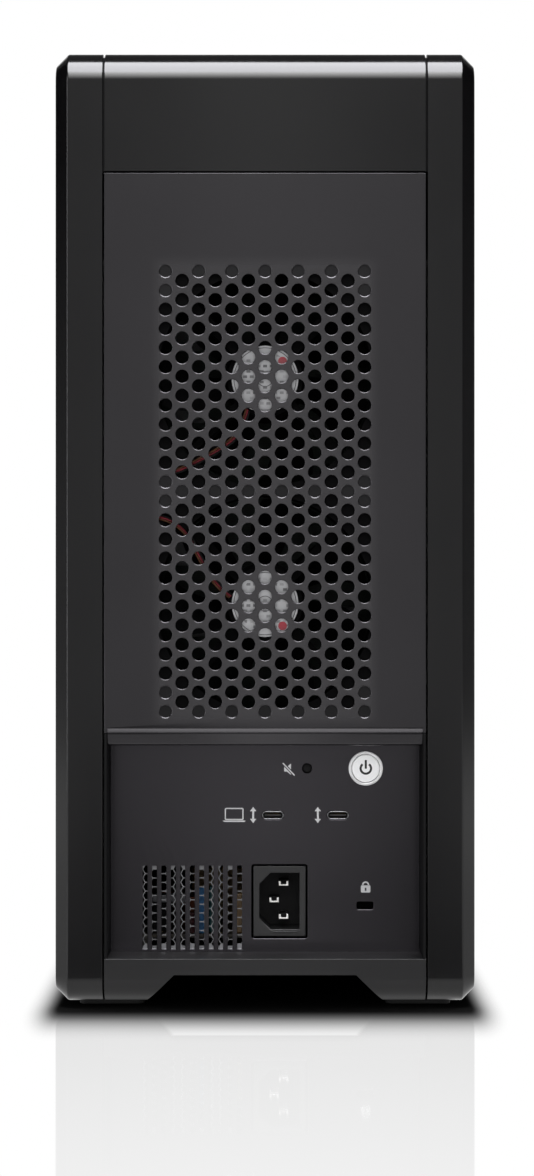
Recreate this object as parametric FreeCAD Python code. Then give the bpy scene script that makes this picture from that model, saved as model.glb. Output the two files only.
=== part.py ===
"""Eight-bay drive tower: shells round a steel chassis, fans and connectors at the rear, trays at the front.

Millimetres, +Z up, origin on the floor under the middle of the body.
The rear, with the fans and connectors, faces -Y. The front, with the drive trays, faces +Y.
"""

import FreeCAD
import Part
import math
import os
from FreeCAD import Vector

# Outer body
body_width = 173.0
body_depth = 318.0
edge_radius = 10.5
side_chamfer = 5.2
spine_width = 133.0
seam = 0.7
shell_wall = 2.5
boss_radius = 4.0
boss_inset = 48.0
top_lip = 50.05
tongue_overlap = 2.0
cover_tongue = 1.2
tongue_clearance = 0.2

# Sheet metal
sheet = 1.5
chassis_sheet = 1.2
fold_radius = 2.0
flange_width = 11.0

# Base and feet
foot_height = 2.0
foot_width = 27.0
foot_length = 44.0
foot_corner = 3.0
foot_inset = 12.0
ledge_rise = 18.1
tunnel_height = 11.5
tunnel_width = 75.0

# Recess for the connectors
recess_height = 92.9
recess_depth = 24.0
recess_slope = 6.8
slope_run = 7.0
lip_clearance = 0.2

# Fans and the holes over them
fan_size = 92.0
fan_depth = 25.0
fan_gap = 0.5
fan_margin = 7.15
fan_corner = 4.0
fan_wall = 1.5
fan_screw_pitch = 82.5
hub_radius = 15.5
hub_thickness = 3.5
hub_setback = 0.9
label_radius = 13.7
label_thickness = 0.3
strut_width = 4.0
rotor_radius = 17.0
rotor_gap = 0.5
rotor_end_gap = 2.0
blade_count = 7
blade_thickness = 1.6
blade_chord = 25.0
blade_camber = 2.6
blade_pitch = 38.0
blade_tip_gap = 0.8
shaft_radius = 1.55
shaft_clearance = 0.05
shaft_length = 2.6
hole_pitch = 7.87
hole_size = 5.5
hole_sides = 6
dimple_depth = 0.7
dimple_reach = 5.5
edge_band = 2.5
lead_width = 3.3
lead_thickness = 1.1
lead_bend = 5.0
lead_clearance = 0.7

# Drive bays
bay_count = 8
bay_pitch = 33.0
stack_rise = 72.5
stack_margin = 4.65
drive_width = 101.6
drive_length = 147.0
drive_height = 26.1
drive_corner = 3.0
lid_thickness = 1.0
lid_inset = 3.0
frame_plate = 3.0
frame_depth = 12.0
frame_rim = 2.0
bezel_width = 121.0
bezel_gap = 0.4
tray_gap = 0.3
tray_rail = 2.4
tray_rail_height = 21.8
tray_floor = 2.0
tray_tie_length = 20.0
shelf_thickness = 2.0
guide_wall = 2.0
guide_rib = 1.0
guide_rib_height = 3.0
slide_clearance = 0.3

# Latch lever in the front of each tray
pocket_depth = 5.2
pocket_margin = 3.2
pocket_left = 54.5
pocket_right = 53.5
finger_width = 8.0
finger_depth = 9.0
lever_thickness = 4.4
lever_clearance = 0.4
pivot_radius = 1.4
pivot_length = 1.6
pivot_clearance = 0.05
lever_slot_count = 5
lever_slot_width = 4.0
lever_slot_pitch = 14.0
lever_slot_margin = 4.0
bezel_vent_width = 36.0
bezel_vent_height = 12.0
bezel_vent_pitch = 44.0

# Backplane
backplane_width = 100.0
air_window_width = 16.0
air_window_height = 14.0
air_window_spacing = 68.0
board_thickness = 1.6
backplane_distance = 9.4
bracket_height = 12.0
socket_width = 41.0
socket_height = 4.7
socket_reach = 4.5
socket_clearance = 0.7

# Connector panel
port_spacing = 27.3
port_centre = 16.9
port_rise = 57.2
port_width = 8.94
port_height = 3.26
port_wall = 0.3
port_clearance = 0.18
tongue_width = 6.7
tongue_thickness = 0.7
tongue_setback = 1.0
button_offset = 42.2
button_rise = 76.9
ring_radius = 7.25
ring_barrel = 6.5
ring_bore = 5.95
ring_proud = 1.2
button_clearance = 0.15
button_length = 5.5
button_stem = 2.0
button_stem_length = 1.2
mute_offset = 17.6
mute_radius = 1.8
mute_clearance = 0.25
mute_collar = 2.5
mute_setback = 0.5
mute_length = 5.5
lock_offset = 41.9
lock_rise = 19.3
lock_width = 7.0
lock_height = 3.2
lock_corner = 0.8
vent_slot_count = 11
vent_slot_pitch = 3.97
vent_slot_width = 1.96
vent_slot_height = 35.1
vent_offset = -30.55
vent_rise = 18.5

# Power supply and mains inlet
supply_width = 81.5
supply_height = 40.5
supply_length = 150.0
supply_offset = -16.25
supply_wall = 1.0
supply_vent_columns = 9
supply_vent_rows = 6
supply_vent_pitch = 5.2
supply_vent_hole = 4.4
supply_board_rise = 3.0
supply_board_margin = 4.0
coil_radius = 8.0
coil_height = 15.0
inlet_offset = 6.05
inlet_rise = 21.1
inlet_width = 22.6
inlet_height = 30.2
inlet_gap = 0.45
inlet_flange = 0.8
inlet_body_width = 19.8
inlet_body_height = 27.0
inlet_body_clearance = 0.2
inlet_body_depth = 19.5
socket_opening_width = 16.7
socket_opening_height = 23.6
socket_opening_chamfer = 4.6
socket_opening_depth = 17.0
pin_width = 4.0
pin_thickness = 2.0
pin_length = 12.5
pin_spacing = 14.0
pin_stagger = 4.0
pin_shift = -0.25

# Controller board behind the connector panel
controller_distance = 7.0
controller_width = 122.0
controller_height = 40.0
controller_offset = 0.0
controller_rise = 43.5
standoff_size = 2.9
standoff_inset = 4.0
switch_size = 6.0
power_switch_height = 1.5
mute_switch_height = 1.3
header_size = 4.0
header_height = 6.0
header_spacing = 4.5
sink_size = 30.0
sink_base = 3.0
sink_height = 14.0
sink_fins = 6
sink_fin = 1.5
sink_offset = 24.0

# Planes and centres that follow from these sizes
rear_y = -body_depth / 2
front_y = body_depth / 2
half_width = body_width / 2
spine_half = (spine_width - seam) / 2
panel_edge = (spine_width + seam) / 2
wall_inside = spine_half - chassis_sheet
body_bottom = foot_height
ledge_z = body_bottom + ledge_rise
floor_z = ledge_z + chassis_sheet
recess_top_z = ledge_z + recess_height
connector_y = rear_y + recess_depth
connector_back_y = connector_y + sheet
stack_bottom_z = body_bottom + stack_rise
stack_top_z = stack_bottom_z + bay_count * bay_pitch
panel_top_z = stack_top_z + stack_margin
cover_bottom_z = panel_top_z + seam
body_top = cover_bottom_z + top_lip
top_plate_z = panel_top_z - sheet
frame_back_y = front_y - frame_depth
fan_y = rear_y + sheet
hub_y = fan_y + hub_setback
rotor_y = hub_y + hub_thickness + rotor_gap
duct_radius = fan_size / 2 - fan_wall
lower_fan_z = recess_top_z + fan_margin + fan_size / 2
upper_fan_z = lower_fan_z + fan_size + fan_gap
grille_z = (lower_fan_z + upper_fan_z) / 2
drive_rear_y = frame_back_y - 1.0 - drive_length
backplane_y = drive_rear_y - backplane_distance
drive_rise = slide_clearance + shelf_thickness / 2 + tray_floor
rail_bottom = slide_clearance + shelf_thickness / 2
controller_y = connector_back_y + controller_distance
controller_back_y = controller_y + board_thickness
port_z = ledge_z + port_rise
button_z = ledge_z + button_rise
inlet_z = ledge_z + inlet_rise
lock_z = ledge_z + lock_rise
vent_z = ledge_z + vent_rise

AXIS_X = Vector(1, 0, 0)
AXIS_Y = Vector(0, 1, 0)
AXIS_Z = Vector(0, 0, 1)


def block(x_range, y_range, z_range):
    """Box between three pairs of limits, given in any order."""
    lows = [min(pair) for pair in (x_range, y_range, z_range)]
    spans = [abs(pair[1] - pair[0]) for pair in (x_range, y_range, z_range)]
    return Part.makeBox(spans[0], spans[1], spans[2], Vector(lows[0], lows[1], lows[2]))


def around(centre, size):
    """Limits of a given size either side of a centre."""
    return (centre - size / 2, centre + size / 2)


def rod(radius, start, end):
    """Cylinder from one point to another."""
    start = Vector(*start)
    along = Vector(*end) - start
    return Part.makeCylinder(radius, along.Length, start, along)


def rod_y(radius, centre, y_range):
    """Cylinder along Y about an (x, z) centre."""
    return rod(radius, (centre[0], y_range[0], centre[1]), (centre[0], y_range[1], centre[1]))


def prism_x(points, x_range):
    """Polygon of (y, z) points, extruded along X."""
    ring = [Vector(x_range[0], y, z) for y, z in points]
    face = Part.Face(Part.makePolygon(ring + ring[:1]))
    return face.extrude(AXIS_X * (x_range[1] - x_range[0]))


def prism_y(points, y_range):
    """Polygon of (x, z) points, extruded along Y."""
    ring = [Vector(x, y_range[0], z) for x, z in points]
    face = Part.Face(Part.makePolygon(ring + ring[:1]))
    return face.extrude(AXIS_Y * (y_range[1] - y_range[0]))


def polygon(sides, radius, centre, turn=0.0):
    """Corners of an upright regular polygon, as (x, z) points."""
    angles = [math.radians(turn + 360.0 * i / sides) for i in range(sides)]
    return [(centre[0] + radius * math.cos(a), centre[1] + radius * math.sin(a)) for a in angles]


def edges_along(shape, axis):
    """Straight edges of a shape that run along an axis."""
    found = []
    for edge in shape.Edges:
        if len(edge.Vertexes) == 2 and isinstance(edge.Curve, Part.Line):
            if edge.Curve.Direction.cross(axis).Length < 1e-6:
                found.append(edge)
    return found


def rounded_block(x_range, y_range, z_range, radius, axis):
    """Box whose edges along one axis are rounded."""
    solid = block(x_range, y_range, z_range)
    return solid.makeFillet(radius, edges_along(solid, axis))


def slot_block(centre, width, height, y_range):
    """Upright stadium across X, extruded along Y."""
    radius = height / 2
    reach = width / 2 - radius
    middle = block(around(centre[0], 2 * reach), y_range, around(centre[1], height))
    ends = [rod_y(radius, (centre[0] + side * reach, centre[1]), y_range) for side in (-1, 1)]
    return middle.fuse(ends).removeSplitter()


def body_block(x_range, inset=0.0):
    """Length of the body's rounded section along X, set in from the outside."""
    y_range = (rear_y + inset, front_y - inset)
    z_range = (body_bottom + inset, body_top - inset)
    return rounded_block(x_range, y_range, z_range, edge_radius - inset, AXIS_X)


def chamfered_end(solid, x, size):
    """Solid with a flat chamfer all round the end face that lies at x."""
    rim = [e for e in solid.Edges if abs(e.BoundBox.XMin - x) < 1e-6 and abs(e.BoundBox.XMax - x) < 1e-6]
    return solid.makeChamfer(size, rim)


def export(shape, node):
    """Write one named piece."""
    shape.exportStep("parts/%s.step" % node)


def side_panel(side):
    """Shell that closes one side: flat face, chamfered border, bosses that reach the chassis wall."""
    outer_x = side * half_width
    inner_x = side * panel_edge
    hollow_x = outer_x - side * shell_wall
    inner_chamfer = side_chamfer - shell_wall * (2 - math.sqrt(2))
    shell = chamfered_end(body_block((outer_x, inner_x)), outer_x, side_chamfer)
    hollow = chamfered_end(body_block((hollow_x, inner_x), shell_wall), hollow_x, inner_chamfer)
    bosses = []
    for y in (rear_y + boss_inset, front_y - boss_inset):
        for z in (body_bottom + boss_inset, body_top - 2 * boss_inset):
            start = (hollow_x + side * shell_wall / 2, y, z)
            bosses.append(rod(boss_radius, start, (side * spine_half, y, z)))
    return shell.cut(hollow).fuse(bosses)


def top_cover():
    """Cover with a lip down the rear and the front, bosses, and tongues that close the seams at its sides."""
    span = (-spine_half, spine_half)
    bands = [body_block(span).cut(body_block(span, shell_wall))]
    tongue_back = shell_wall + tongue_clearance + cover_tongue
    for side in (-1, 1):
        root = (side * (spine_half - tongue_overlap), side * spine_half)
        reach = (root[0], side * (panel_edge + tongue_overlap))
        bands.append(body_block(root, shell_wall).cut(body_block(root, tongue_back)))
        bands.append(body_block(reach, shell_wall + tongue_clearance).cut(body_block(reach, tongue_back)))
    everything = block((-half_width, half_width), (rear_y, front_y), (cover_bottom_z, body_top))
    cover = bands[0].fuse(bands[1:]).common(everything).removeSplitter()
    bosses = []
    for x in (-spine_half + boss_inset / 2, spine_half - boss_inset / 2):
        for y in (rear_y + boss_inset, front_y - boss_inset):
            bosses.append(rod(boss_radius, (x, y, top_plate_z), (x, y, body_top - shell_wall / 2)))
    return cover.fuse(bosses)


def hole_centres():
    """Centres of the holes over the fans, each with a mark that says whether it goes through."""
    column_pitch = hole_pitch * math.sqrt(3) / 2
    columns = 2 * int((fan_size - hole_size) / (2 * column_pitch)) + 1
    rows = round((2 * fan_size + fan_gap) / hole_pitch) + 1
    centres = []
    for column in range(columns):
        x = (column - (columns - 1) / 2) * column_pitch
        count = rows - column % 2
        for row in range(count):
            z = grille_z + (row - (count - 1) / 2) * hole_pitch
            centres.append((x, z, is_open(x, z)))
    return centres


def is_open(x, z):
    """Holes over the fans' edges and screw corners are blind, the others go through."""
    fan_z = upper_fan_z if z > grille_z else lower_fan_z
    rise = abs(z - fan_z)
    to_screw = math.hypot(abs(x) - fan_screw_pitch / 2, rise - fan_screw_pitch / 2)
    return rise < fan_size / 2 - edge_band and to_screw > dimple_reach


def rear_panel():
    """Folded sheet over the fans: a field of holes, flanges, and a lip with two bends into the recess."""
    inside_y = rear_y + sheet
    corner_radius = hole_size / 2 * math.sqrt(2 * math.pi / (3 * math.sqrt(3)))
    outline = [(-spine_half, recess_top_z), (spine_half, recess_top_z)]
    outline += [(spine_half, panel_top_z), (-spine_half, panel_top_z)]
    rings = [outline]
    dimples = []
    for x, z, through in hole_centres():
        corners = polygon(hole_sides, corner_radius, (x, z))
        if through:
            rings.append(corners)
        else:
            dimples.append(prism_y(corners, (rear_y, rear_y + dimple_depth)))
    wires = []
    for ring in rings:
        points = [Vector(x, rear_y, z) for x, z in ring]
        wires.append(Part.makePolygon(points + points[:1]))
    plate = Part.makeFace(wires, "Part::FaceMakerBullseye").extrude(AXIS_Y * sheet)
    plate = plate.cut(dimples)
    angle = math.atan2(recess_slope, slope_run)
    root_z = recess_top_z + sheet * (math.cos(angle) - (1 - math.sin(angle)) * math.tan(angle))
    tip_z = recess_top_z - recess_slope
    turn_y = rear_y + slope_run
    inner_turn_y = turn_y + sheet * (math.sin(angle) - (1 - math.cos(angle)) / math.tan(angle))
    fold_top_z = recess_top_z + 2 * fold_radius
    fold = [(rear_y, fold_top_z), (rear_y, recess_top_z), (turn_y, tip_z), (connector_y, tip_z)]
    fold += [(connector_y, tip_z + sheet), (inner_turn_y, tip_z + sheet)]
    fold += [(inside_y, root_z), (inside_y, fold_top_z)]
    lip_half = wall_inside - lip_clearance
    lip = prism_x(fold, (-lip_half, lip_half))
    bends = []
    for edge in edges_along(lip, AXIS_X):
        for y, z in ((rear_y, recess_top_z), (turn_y, tip_z)):
            if abs(edge.BoundBox.YMin - y) + abs(edge.BoundBox.ZMin - z) < 1e-6:
                bends.append(edge)
    lip = lip.makeFillet(fold_radius, bends)
    gap = block((-lip_half, lip_half), (rear_y - 1, inside_y + 1), (recess_top_z - 1, fold_top_z))
    flange_y = (inside_y, inside_y + flange_width)
    flanges = [block((-wall_inside, wall_inside), flange_y, (top_plate_z, panel_top_z))]
    for side in (-1, 1):
        x_range = (side * wall_inside, side * (wall_inside - sheet))
        flanges.append(block(x_range, flange_y, (recess_top_z + fan_margin, top_plate_z - chassis_sheet)))
    return plate.cut(gap).fuse([lip] + flanges).removeSplitter()


def connector_panel():
    """Flat sheet at the back of the recess, with its cut-outs."""
    half = wall_inside - lip_clearance
    y_range = (connector_y, connector_back_y)
    cut_y = (connector_y - 1, connector_back_y + 1)
    top_z = recess_top_z - recess_slope / 2
    plate = block((-half, half), y_range, (ledge_z, top_z))
    cuts = []
    for i in range(vent_slot_count):
        x = vent_offset + (i - (vent_slot_count - 1) / 2) * vent_slot_pitch
        cuts.append(block(around(x, vent_slot_width), cut_y, around(vent_z, vent_slot_height)))
    inlet_x = around(inlet_offset, inlet_width + 2 * inlet_gap)
    cuts.append(block(inlet_x, cut_y, around(inlet_z, inlet_height + 2 * inlet_gap)))
    for x in (port_centre - port_spacing / 2, port_centre + port_spacing / 2):
        width = port_width + 2 * port_clearance
        height = port_height + 2 * port_clearance
        cuts.append(slot_block((x, port_z), width, height, cut_y))
    ring_hole = ring_barrel + shaft_clearance
    cuts.append(rod_y(ring_hole, (button_offset, button_z), cut_y))
    cuts.append(rod_y(mute_radius + mute_clearance, (mute_offset, button_z), cut_y))
    lock_x = around(lock_offset, lock_width)
    cuts.append(rounded_block(lock_x, cut_y, around(lock_z, lock_height), lock_corner, AXIS_Y))
    return plate.cut(cuts)


def base_pan():
    """Open tray under the chassis: two runners with a tunnel between them, and the ledge of the recess."""
    span = (-spine_half, spine_half)
    everywhere = (rear_y - 1, front_y + 1)
    pan = body_block(span).common(block(span, everywhere, (body_bottom, ledge_z)))
    roof_z = body_bottom + tunnel_height
    roof_half = tunnel_width / 2
    foot_half = roof_half + tunnel_height
    tunnel = [(-foot_half - 1, body_bottom - 1), (foot_half + 1, body_bottom - 1)]
    tunnel += [(roof_half, roof_z), (-roof_half, roof_z)]
    inner_half = spine_half - shell_wall
    lean = shell_wall * math.tan(math.radians(22.5))
    hollow = [(-inner_half, ledge_z + 1), (-inner_half, body_bottom + shell_wall)]
    hollow += [(-foot_half - lean, body_bottom + shell_wall), (-roof_half - lean, roof_z + shell_wall)]
    hollow += [(-x, z) for x, z in reversed(hollow)]
    room = body_block((-inner_half, inner_half), shell_wall)
    cavity = prism_y(hollow, everywhere).common(room)
    ledge_y = (rear_y + shell_wall, connector_back_y)
    ledge = block((-inner_half, inner_half), ledge_y, (ledge_z - shell_wall, ledge_z))
    return pan.cut([prism_y(tunnel, everywhere), cavity.cut(ledge)])


def rubber_feet():
    """Four flat pads under the runners and the side panels' lower edges."""
    feet = []
    for side in (-1, 1):
        inner = tunnel_width / 2 + tunnel_height + 1.0
        x_range = (side * inner, side * (inner + foot_width))
        for end in (-1, 1):
            outer = front_y - foot_inset
            y_range = (end * outer, end * (outer - foot_length))
            feet.append(rounded_block(x_range, y_range, (0, foot_height), foot_corner, AXIS_Z))
    return Part.makeCompound(feet)


def front_frame():
    """Moulded fascia with one tall opening for the trays, a rim round it and flanges to the chassis walls."""
    open_half = bezel_width / 2 + bezel_gap
    plate_y = (front_y - frame_plate, front_y)
    rim_y = (frame_back_y, front_y - frame_plate)
    plate = block((-spine_half, spine_half), plate_y, (ledge_z + seam, panel_top_z))
    rim_half = open_half + frame_rim
    rim = block((-rim_half, rim_half), rim_y, (stack_bottom_z - frame_rim, stack_top_z + frame_rim))
    flanges = []
    for side in (-1, 1):
        x_range = (side * wall_inside, side * spine_half)
        flanges.append(block(x_range, rim_y, (ledge_z + seam, top_plate_z - chassis_sheet)))
    opening = block((-open_half, open_half), (frame_back_y - 1, front_y + 1), (stack_bottom_z, stack_top_z))
    return plate.fuse([rim] + flanges).cut(opening).removeSplitter()


def chassis_wall(side):
    """Flat steel wall; its rear edge shows beside the recess and stops behind the folded panel above it."""
    low = recess_top_z - lip_clearance
    outline = [(rear_y, ledge_z), (frame_back_y, ledge_z), (frame_back_y, top_plate_z - chassis_sheet)]
    outline += [(rear_y + sheet, top_plate_z - chassis_sheet), (rear_y + sheet, low), (rear_y, low)]
    return prism_x(outline, (side * wall_inside, side * spine_half))


def guide_rails(side):
    """Moulded comb on one chassis wall: a back wall, and for each bay a shelf with a guide rib."""
    y_range = (backplane_y, frame_back_y - 0.5)
    back_x = wall_inside - guide_wall
    rail_outside = drive_width / 2 + tray_rail
    shelf_x = (side * (drive_width / 2 + 0.6), side * wall_inside)
    rib_x = (side * (rail_outside + slide_clearance), side * (rail_outside + slide_clearance + guide_rib))
    low = stack_bottom_z - shelf_thickness / 2
    comb = [block((side * back_x, side * wall_inside), y_range, (low, stack_top_z))]
    for i in range(bay_count):
        z = stack_bottom_z + i * bay_pitch
        comb.append(block(shelf_x, y_range, around(z, shelf_thickness)))
        top = z + shelf_thickness / 2
        comb.append(block(rib_x, y_range, (z, top + guide_rib_height)))
    return comb[0].fuse(comb[1:]).removeSplitter()


def drive_tray():
    """Tray of the lowest bay: front with a latch pocket, two rails and a tie under the drive."""
    low = stack_bottom_z + tray_gap
    high = stack_bottom_z + bay_pitch - tray_gap
    front = block(around(0, bezel_width), (frame_back_y, front_y), (low, high))
    pocket_z = (low + pocket_margin, high - pocket_margin)
    pocket = block((-pocket_left, pocket_right), (front_y - pocket_depth, front_y + 1), pocket_z)
    finger = block((pocket_right - finger_width, pocket_right), (front_y - finger_depth, front_y), pocket_z)
    cuts = [pocket, finger]
    middle = (low + high) / 2
    for side in (-1, 1):
        x_range = around(side * bezel_vent_pitch / 2 - finger_width / 2, bezel_vent_width)
        cuts.append(block(x_range, (frame_back_y - 1, front_y), around(middle, bezel_vent_height)))
    x, y = pivot_centre()
    reach = pivot_length + 0.3
    cuts.append(rod(pivot_radius + pivot_clearance, (x, y, pocket_z[0] - reach), (x, y, pocket_z[1] + reach)))
    front = front.cut(cuts)
    rail_z = (stack_bottom_z + rail_bottom, stack_bottom_z + rail_bottom + tray_rail_height)
    half = drive_width / 2
    pieces = []
    for side in (-1, 1):
        pieces.append(block((side * half, side * (half + tray_rail)), (drive_rear_y, frame_back_y), rail_z))
    tie_y = (drive_rear_y + 3, drive_rear_y + 3 + tray_tie_length)
    pieces.append(block((-half, half), tie_y, (rail_z[0], rail_z[0] + tray_floor)))
    return front.fuse(pieces).removeSplitter()


def pivot_centre():
    """Where the latch lever turns, as x and y."""
    radius = lever_thickness / 2
    return (-pocket_left + lever_clearance + radius, front_y - lever_clearance - radius)


def tray_latch():
    """Latch lever of the lowest bay: slotted plate with a round hinge end and two pivot pins."""
    x, y = pivot_centre()
    radius = lever_thickness / 2
    low = stack_bottom_z + tray_gap + pocket_margin + lever_clearance
    high = stack_bottom_z + bay_pitch - tray_gap - pocket_margin - lever_clearance
    tip = pocket_right - finger_width
    plate = block((x, tip), around(y, lever_thickness), (low, high))
    barrel = rod(radius, (x, y, low), (x, y, high))
    reach = lever_clearance + pivot_length
    pins = rod(pivot_radius, (x, y, low - reach), (x, y, high + reach))
    cuts = []
    for i in range(lever_slot_count):
        centre = (x + tip) / 2 + (i - (lever_slot_count - 1) / 2) * lever_slot_pitch
        slot_z = (low + lever_slot_margin, high - lever_slot_margin)
        cuts.append(block(around(centre, lever_slot_width), around(y, 2 * lever_thickness), slot_z))
    return plate.fuse(barrel).removeSplitter().fuse(pins).cut(cuts)


def hard_drive():
    """Drive of the lowest bay: casting with rounded corners, a lid, and a notch for the socket."""
    low = stack_bottom_z + drive_rise
    high = low + drive_height
    y_range = (drive_rear_y, drive_rear_y + drive_length)
    casting_z = (low, high - lid_thickness)
    casting = rounded_block(around(0, drive_width), y_range, casting_z, drive_corner, AXIS_Z)
    lid_y = (y_range[0] + lid_inset, y_range[1] - lid_inset)
    lid = block(around(0, drive_width - 2 * lid_inset), lid_y, (high - lid_thickness, high))
    notch_y = (drive_rear_y - 1, drive_rear_y + socket_reach + socket_clearance)
    notch_z = (low - 1, low + 2 * socket_clearance + socket_height)
    notch = block(around(0, socket_width + 2 * socket_clearance), notch_y, notch_z)
    return casting.fuse(lid).cut(notch)


def backplane_sockets():
    """One socket for each bay, on the front of the backplane."""
    sockets = []
    y_range = (backplane_y, drive_rear_y + socket_reach)
    for i in range(bay_count):
        low = stack_bottom_z + i * bay_pitch + drive_rise + socket_clearance
        sockets.append(block(around(0, socket_width), y_range, (low, low + socket_height)))
    return Part.makeCompound(sockets)


def backplane_brackets():
    """Two cross bars between the chassis walls that the backplane is fixed to."""
    back_y = backplane_y - board_thickness
    bars = []
    for z in (stack_bottom_z - bracket_height / 2, stack_top_z - bracket_height / 2):
        bars.append(block((-wall_inside, wall_inside), (back_y - sheet, back_y), around(z, bracket_height)))
    return Part.makeCompound(bars)


def backplane_board():
    """Upright board behind the drives, with an air window either side of each socket."""
    y_range = (backplane_y - board_thickness, backplane_y)
    cut_y = (y_range[0] - 1, y_range[1] + 1)
    board = block(around(0, backplane_width), y_range, (stack_bottom_z - bracket_height, stack_top_z))
    windows = []
    for i in range(bay_count):
        z_range = around(stack_bottom_z + (i + 0.5) * bay_pitch, air_window_height)
        for x in around(0, air_window_spacing):
            windows.append(block(around(x, air_window_width), cut_y, z_range))
    return board.cut(windows)


def fan_frame(fan_z, route):
    """Fan frame: round duct, four struts with a hub plate, and a groove for the lead."""
    half = fan_size / 2
    y_range = (fan_y, fan_y + fan_depth)
    frame = rounded_block(around(0, fan_size), y_range, around(fan_z, fan_size), fan_corner, AXIS_Y)
    frame = frame.cut(rod_y(duct_radius, (0, fan_z), (fan_y - 1, fan_y + fan_depth + 1)))
    hub_back_y = hub_y + hub_thickness
    hub = rod_y(hub_radius, (0, fan_z), (hub_y, hub_back_y))
    struts = []
    for turn in (45, 135):
        bar = block(around(0, 2 * half), (hub_y + 0.5, hub_back_y), around(fan_z, strut_width))
        bar.rotate(Vector(0, 0, fan_z), AXIS_Y, turn)
        struts.append(bar)
    bore_y = (hub_back_y - shaft_length, hub_back_y + 1)
    bore = rod_y(shaft_radius + shaft_clearance, (0, fan_z), bore_y)
    return frame.fuse([hub] + struts).cut([bore, lead_groove(route)]).removeSplitter()


def fan_rotor(fan_z):
    """Hub cup on a shaft, with curved and pitched blades."""
    end_y = fan_y + fan_depth - rotor_end_gap
    hub = rod_y(rotor_radius, (0, fan_z), (rotor_y, end_y))
    shaft_tip = hub_y + hub_thickness - shaft_length + 0.3
    shaft = rod_y(shaft_radius, (0, fan_z), (shaft_tip, rotor_y + 1))
    middle_y = (rotor_y + end_y) / 2
    root_z = fan_z + rotor_radius - 2.0
    half = blade_chord / 2
    arcs = []
    for y in around(middle_y, blade_thickness):
        ends = [Vector(x, y, root_z) for x in (-half, half)]
        arcs.append(Part.Arc(ends[0], Vector(0, y + blade_camber, root_z), ends[1]).toShape())
    tips = [Part.makeLine(arcs[0].Vertexes[i].Point, arcs[1].Vertexes[i].Point) for i in (1, 0)]
    section = Part.Face(Part.Wire([arcs[0], tips[0], arcs[1], tips[1]]))
    blade = section.extrude(AXIS_Z * (fan_z + duct_radius - root_z))
    blade.rotate(Vector(0, middle_y, fan_z), AXIS_Z, blade_pitch)
    sweep = rod_y(duct_radius - blade_tip_gap, (0, fan_z), (rotor_y, end_y))
    blade = blade.common(sweep)
    blades = []
    for i in range(blade_count):
        copy = blade.copy()
        copy.rotate(Vector(0, 0, fan_z), AXIS_Y, 360.0 * i / blade_count)
        blades.append(copy)
    return hub.fuse([shaft] + blades)


def fan_labels():
    """Round paper labels on the hubs."""
    labels = []
    for fan_z in (upper_fan_z, lower_fan_z):
        labels.append(rod_y(label_radius, (0, fan_z), (hub_y - label_thickness, hub_y)))
    return Part.makeCompound(labels)


def lead_route(fan_z, down, lane):
    """Corners of a fan lead: out along a strut, through the frame, forwards, then down to its header."""
    lead_y = hub_y + lead_thickness / 2 + lead_clearance
    out_x = -fan_size / 2 - lead_bend - 0.5 - lane * header_spacing
    down_y = controller_back_y + header_height / 2
    end_z = header_z()
    corner = fan_size / 2 - fan_corner
    if down:
        start = (-0.46 * hub_radius, lead_y, fan_z - 0.8 * hub_radius)
        turn = (-0.84 * corner, lead_y, fan_z - 0.93 * corner)
    else:
        start = (-0.9 * hub_radius, lead_y, fan_z + 0.19 * hub_radius)
        turn = (-0.97 * corner, lead_y, fan_z + 0.86 * corner)
    exit_point = (out_x, lead_y, turn[2])
    return [start, turn, exit_point, (out_x, down_y, turn[2]), (out_x, down_y, end_z)]


def header_z():
    """Top of the fan headers on the controller board."""
    return ledge_z + controller_rise + controller_height - standoff_inset


def lead_groove(route):
    """Open groove in the rear of a fan frame for the first two runs of its lead."""
    width = lead_width + 2 * lead_clearance
    y_range = (fan_y - 1, route[0][1] + lead_thickness / 2 + lead_clearance)
    pieces = []
    for start, end in zip(route[:2], route[1:3]):
        dx = end[0] - start[0]
        dz = end[2] - start[2]
        length = math.hypot(dx, dz)
        bar = block((0, length), y_range, around(0, width))
        bar.rotate(Vector(0, 0, 0), AXIS_Y, -math.degrees(math.atan2(dz, dx)))
        bar.translate(Vector(start[0], 0, start[2]))
        pieces.append(bar)
    turn = route[1]
    pieces.append(rod_y(width / 2, (turn[0], turn[2]), y_range))
    return pieces[0].fuse(pieces[1:])


def fan_lead(route):
    """Flat lead of three wires along its route, with a bend at each corner."""
    points = [Vector(*p) for p in route]
    edges = []
    at = points[0]
    for before, corner, after in zip(points, points[1:], points[2:]):
        inwards = (corner - before).normalize()
        outwards = (after - corner).normalize()
        half_turn = inwards.getAngle(outwards) / 2
        setback = lead_bend * math.tan(half_turn)
        begin = corner - inwards * setback
        finish = corner + outwards * setback
        bisector = (outwards - inwards).normalize()
        centre = corner + bisector * (lead_bend / math.cos(half_turn))
        middle = centre - bisector * lead_bend
        edges.append(Part.LineSegment(at, begin).toShape())
        edges.append(Part.Arc(begin, middle, finish).toShape())
        at = finish
    edges.append(Part.LineSegment(at, points[-1]).toShape())
    path = Part.Wire(edges)
    across = AXIS_Y.cross(points[1] - points[0]).normalize() * (lead_width / 2)
    deep = AXIS_Y * (lead_thickness / 2)
    ring = [points[0] + across + deep, points[0] - across + deep]
    ring += [points[0] - across - deep, points[0] + across - deep]
    return path.makePipeShell([Part.makePolygon(ring + ring[:1])], True, False)


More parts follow.
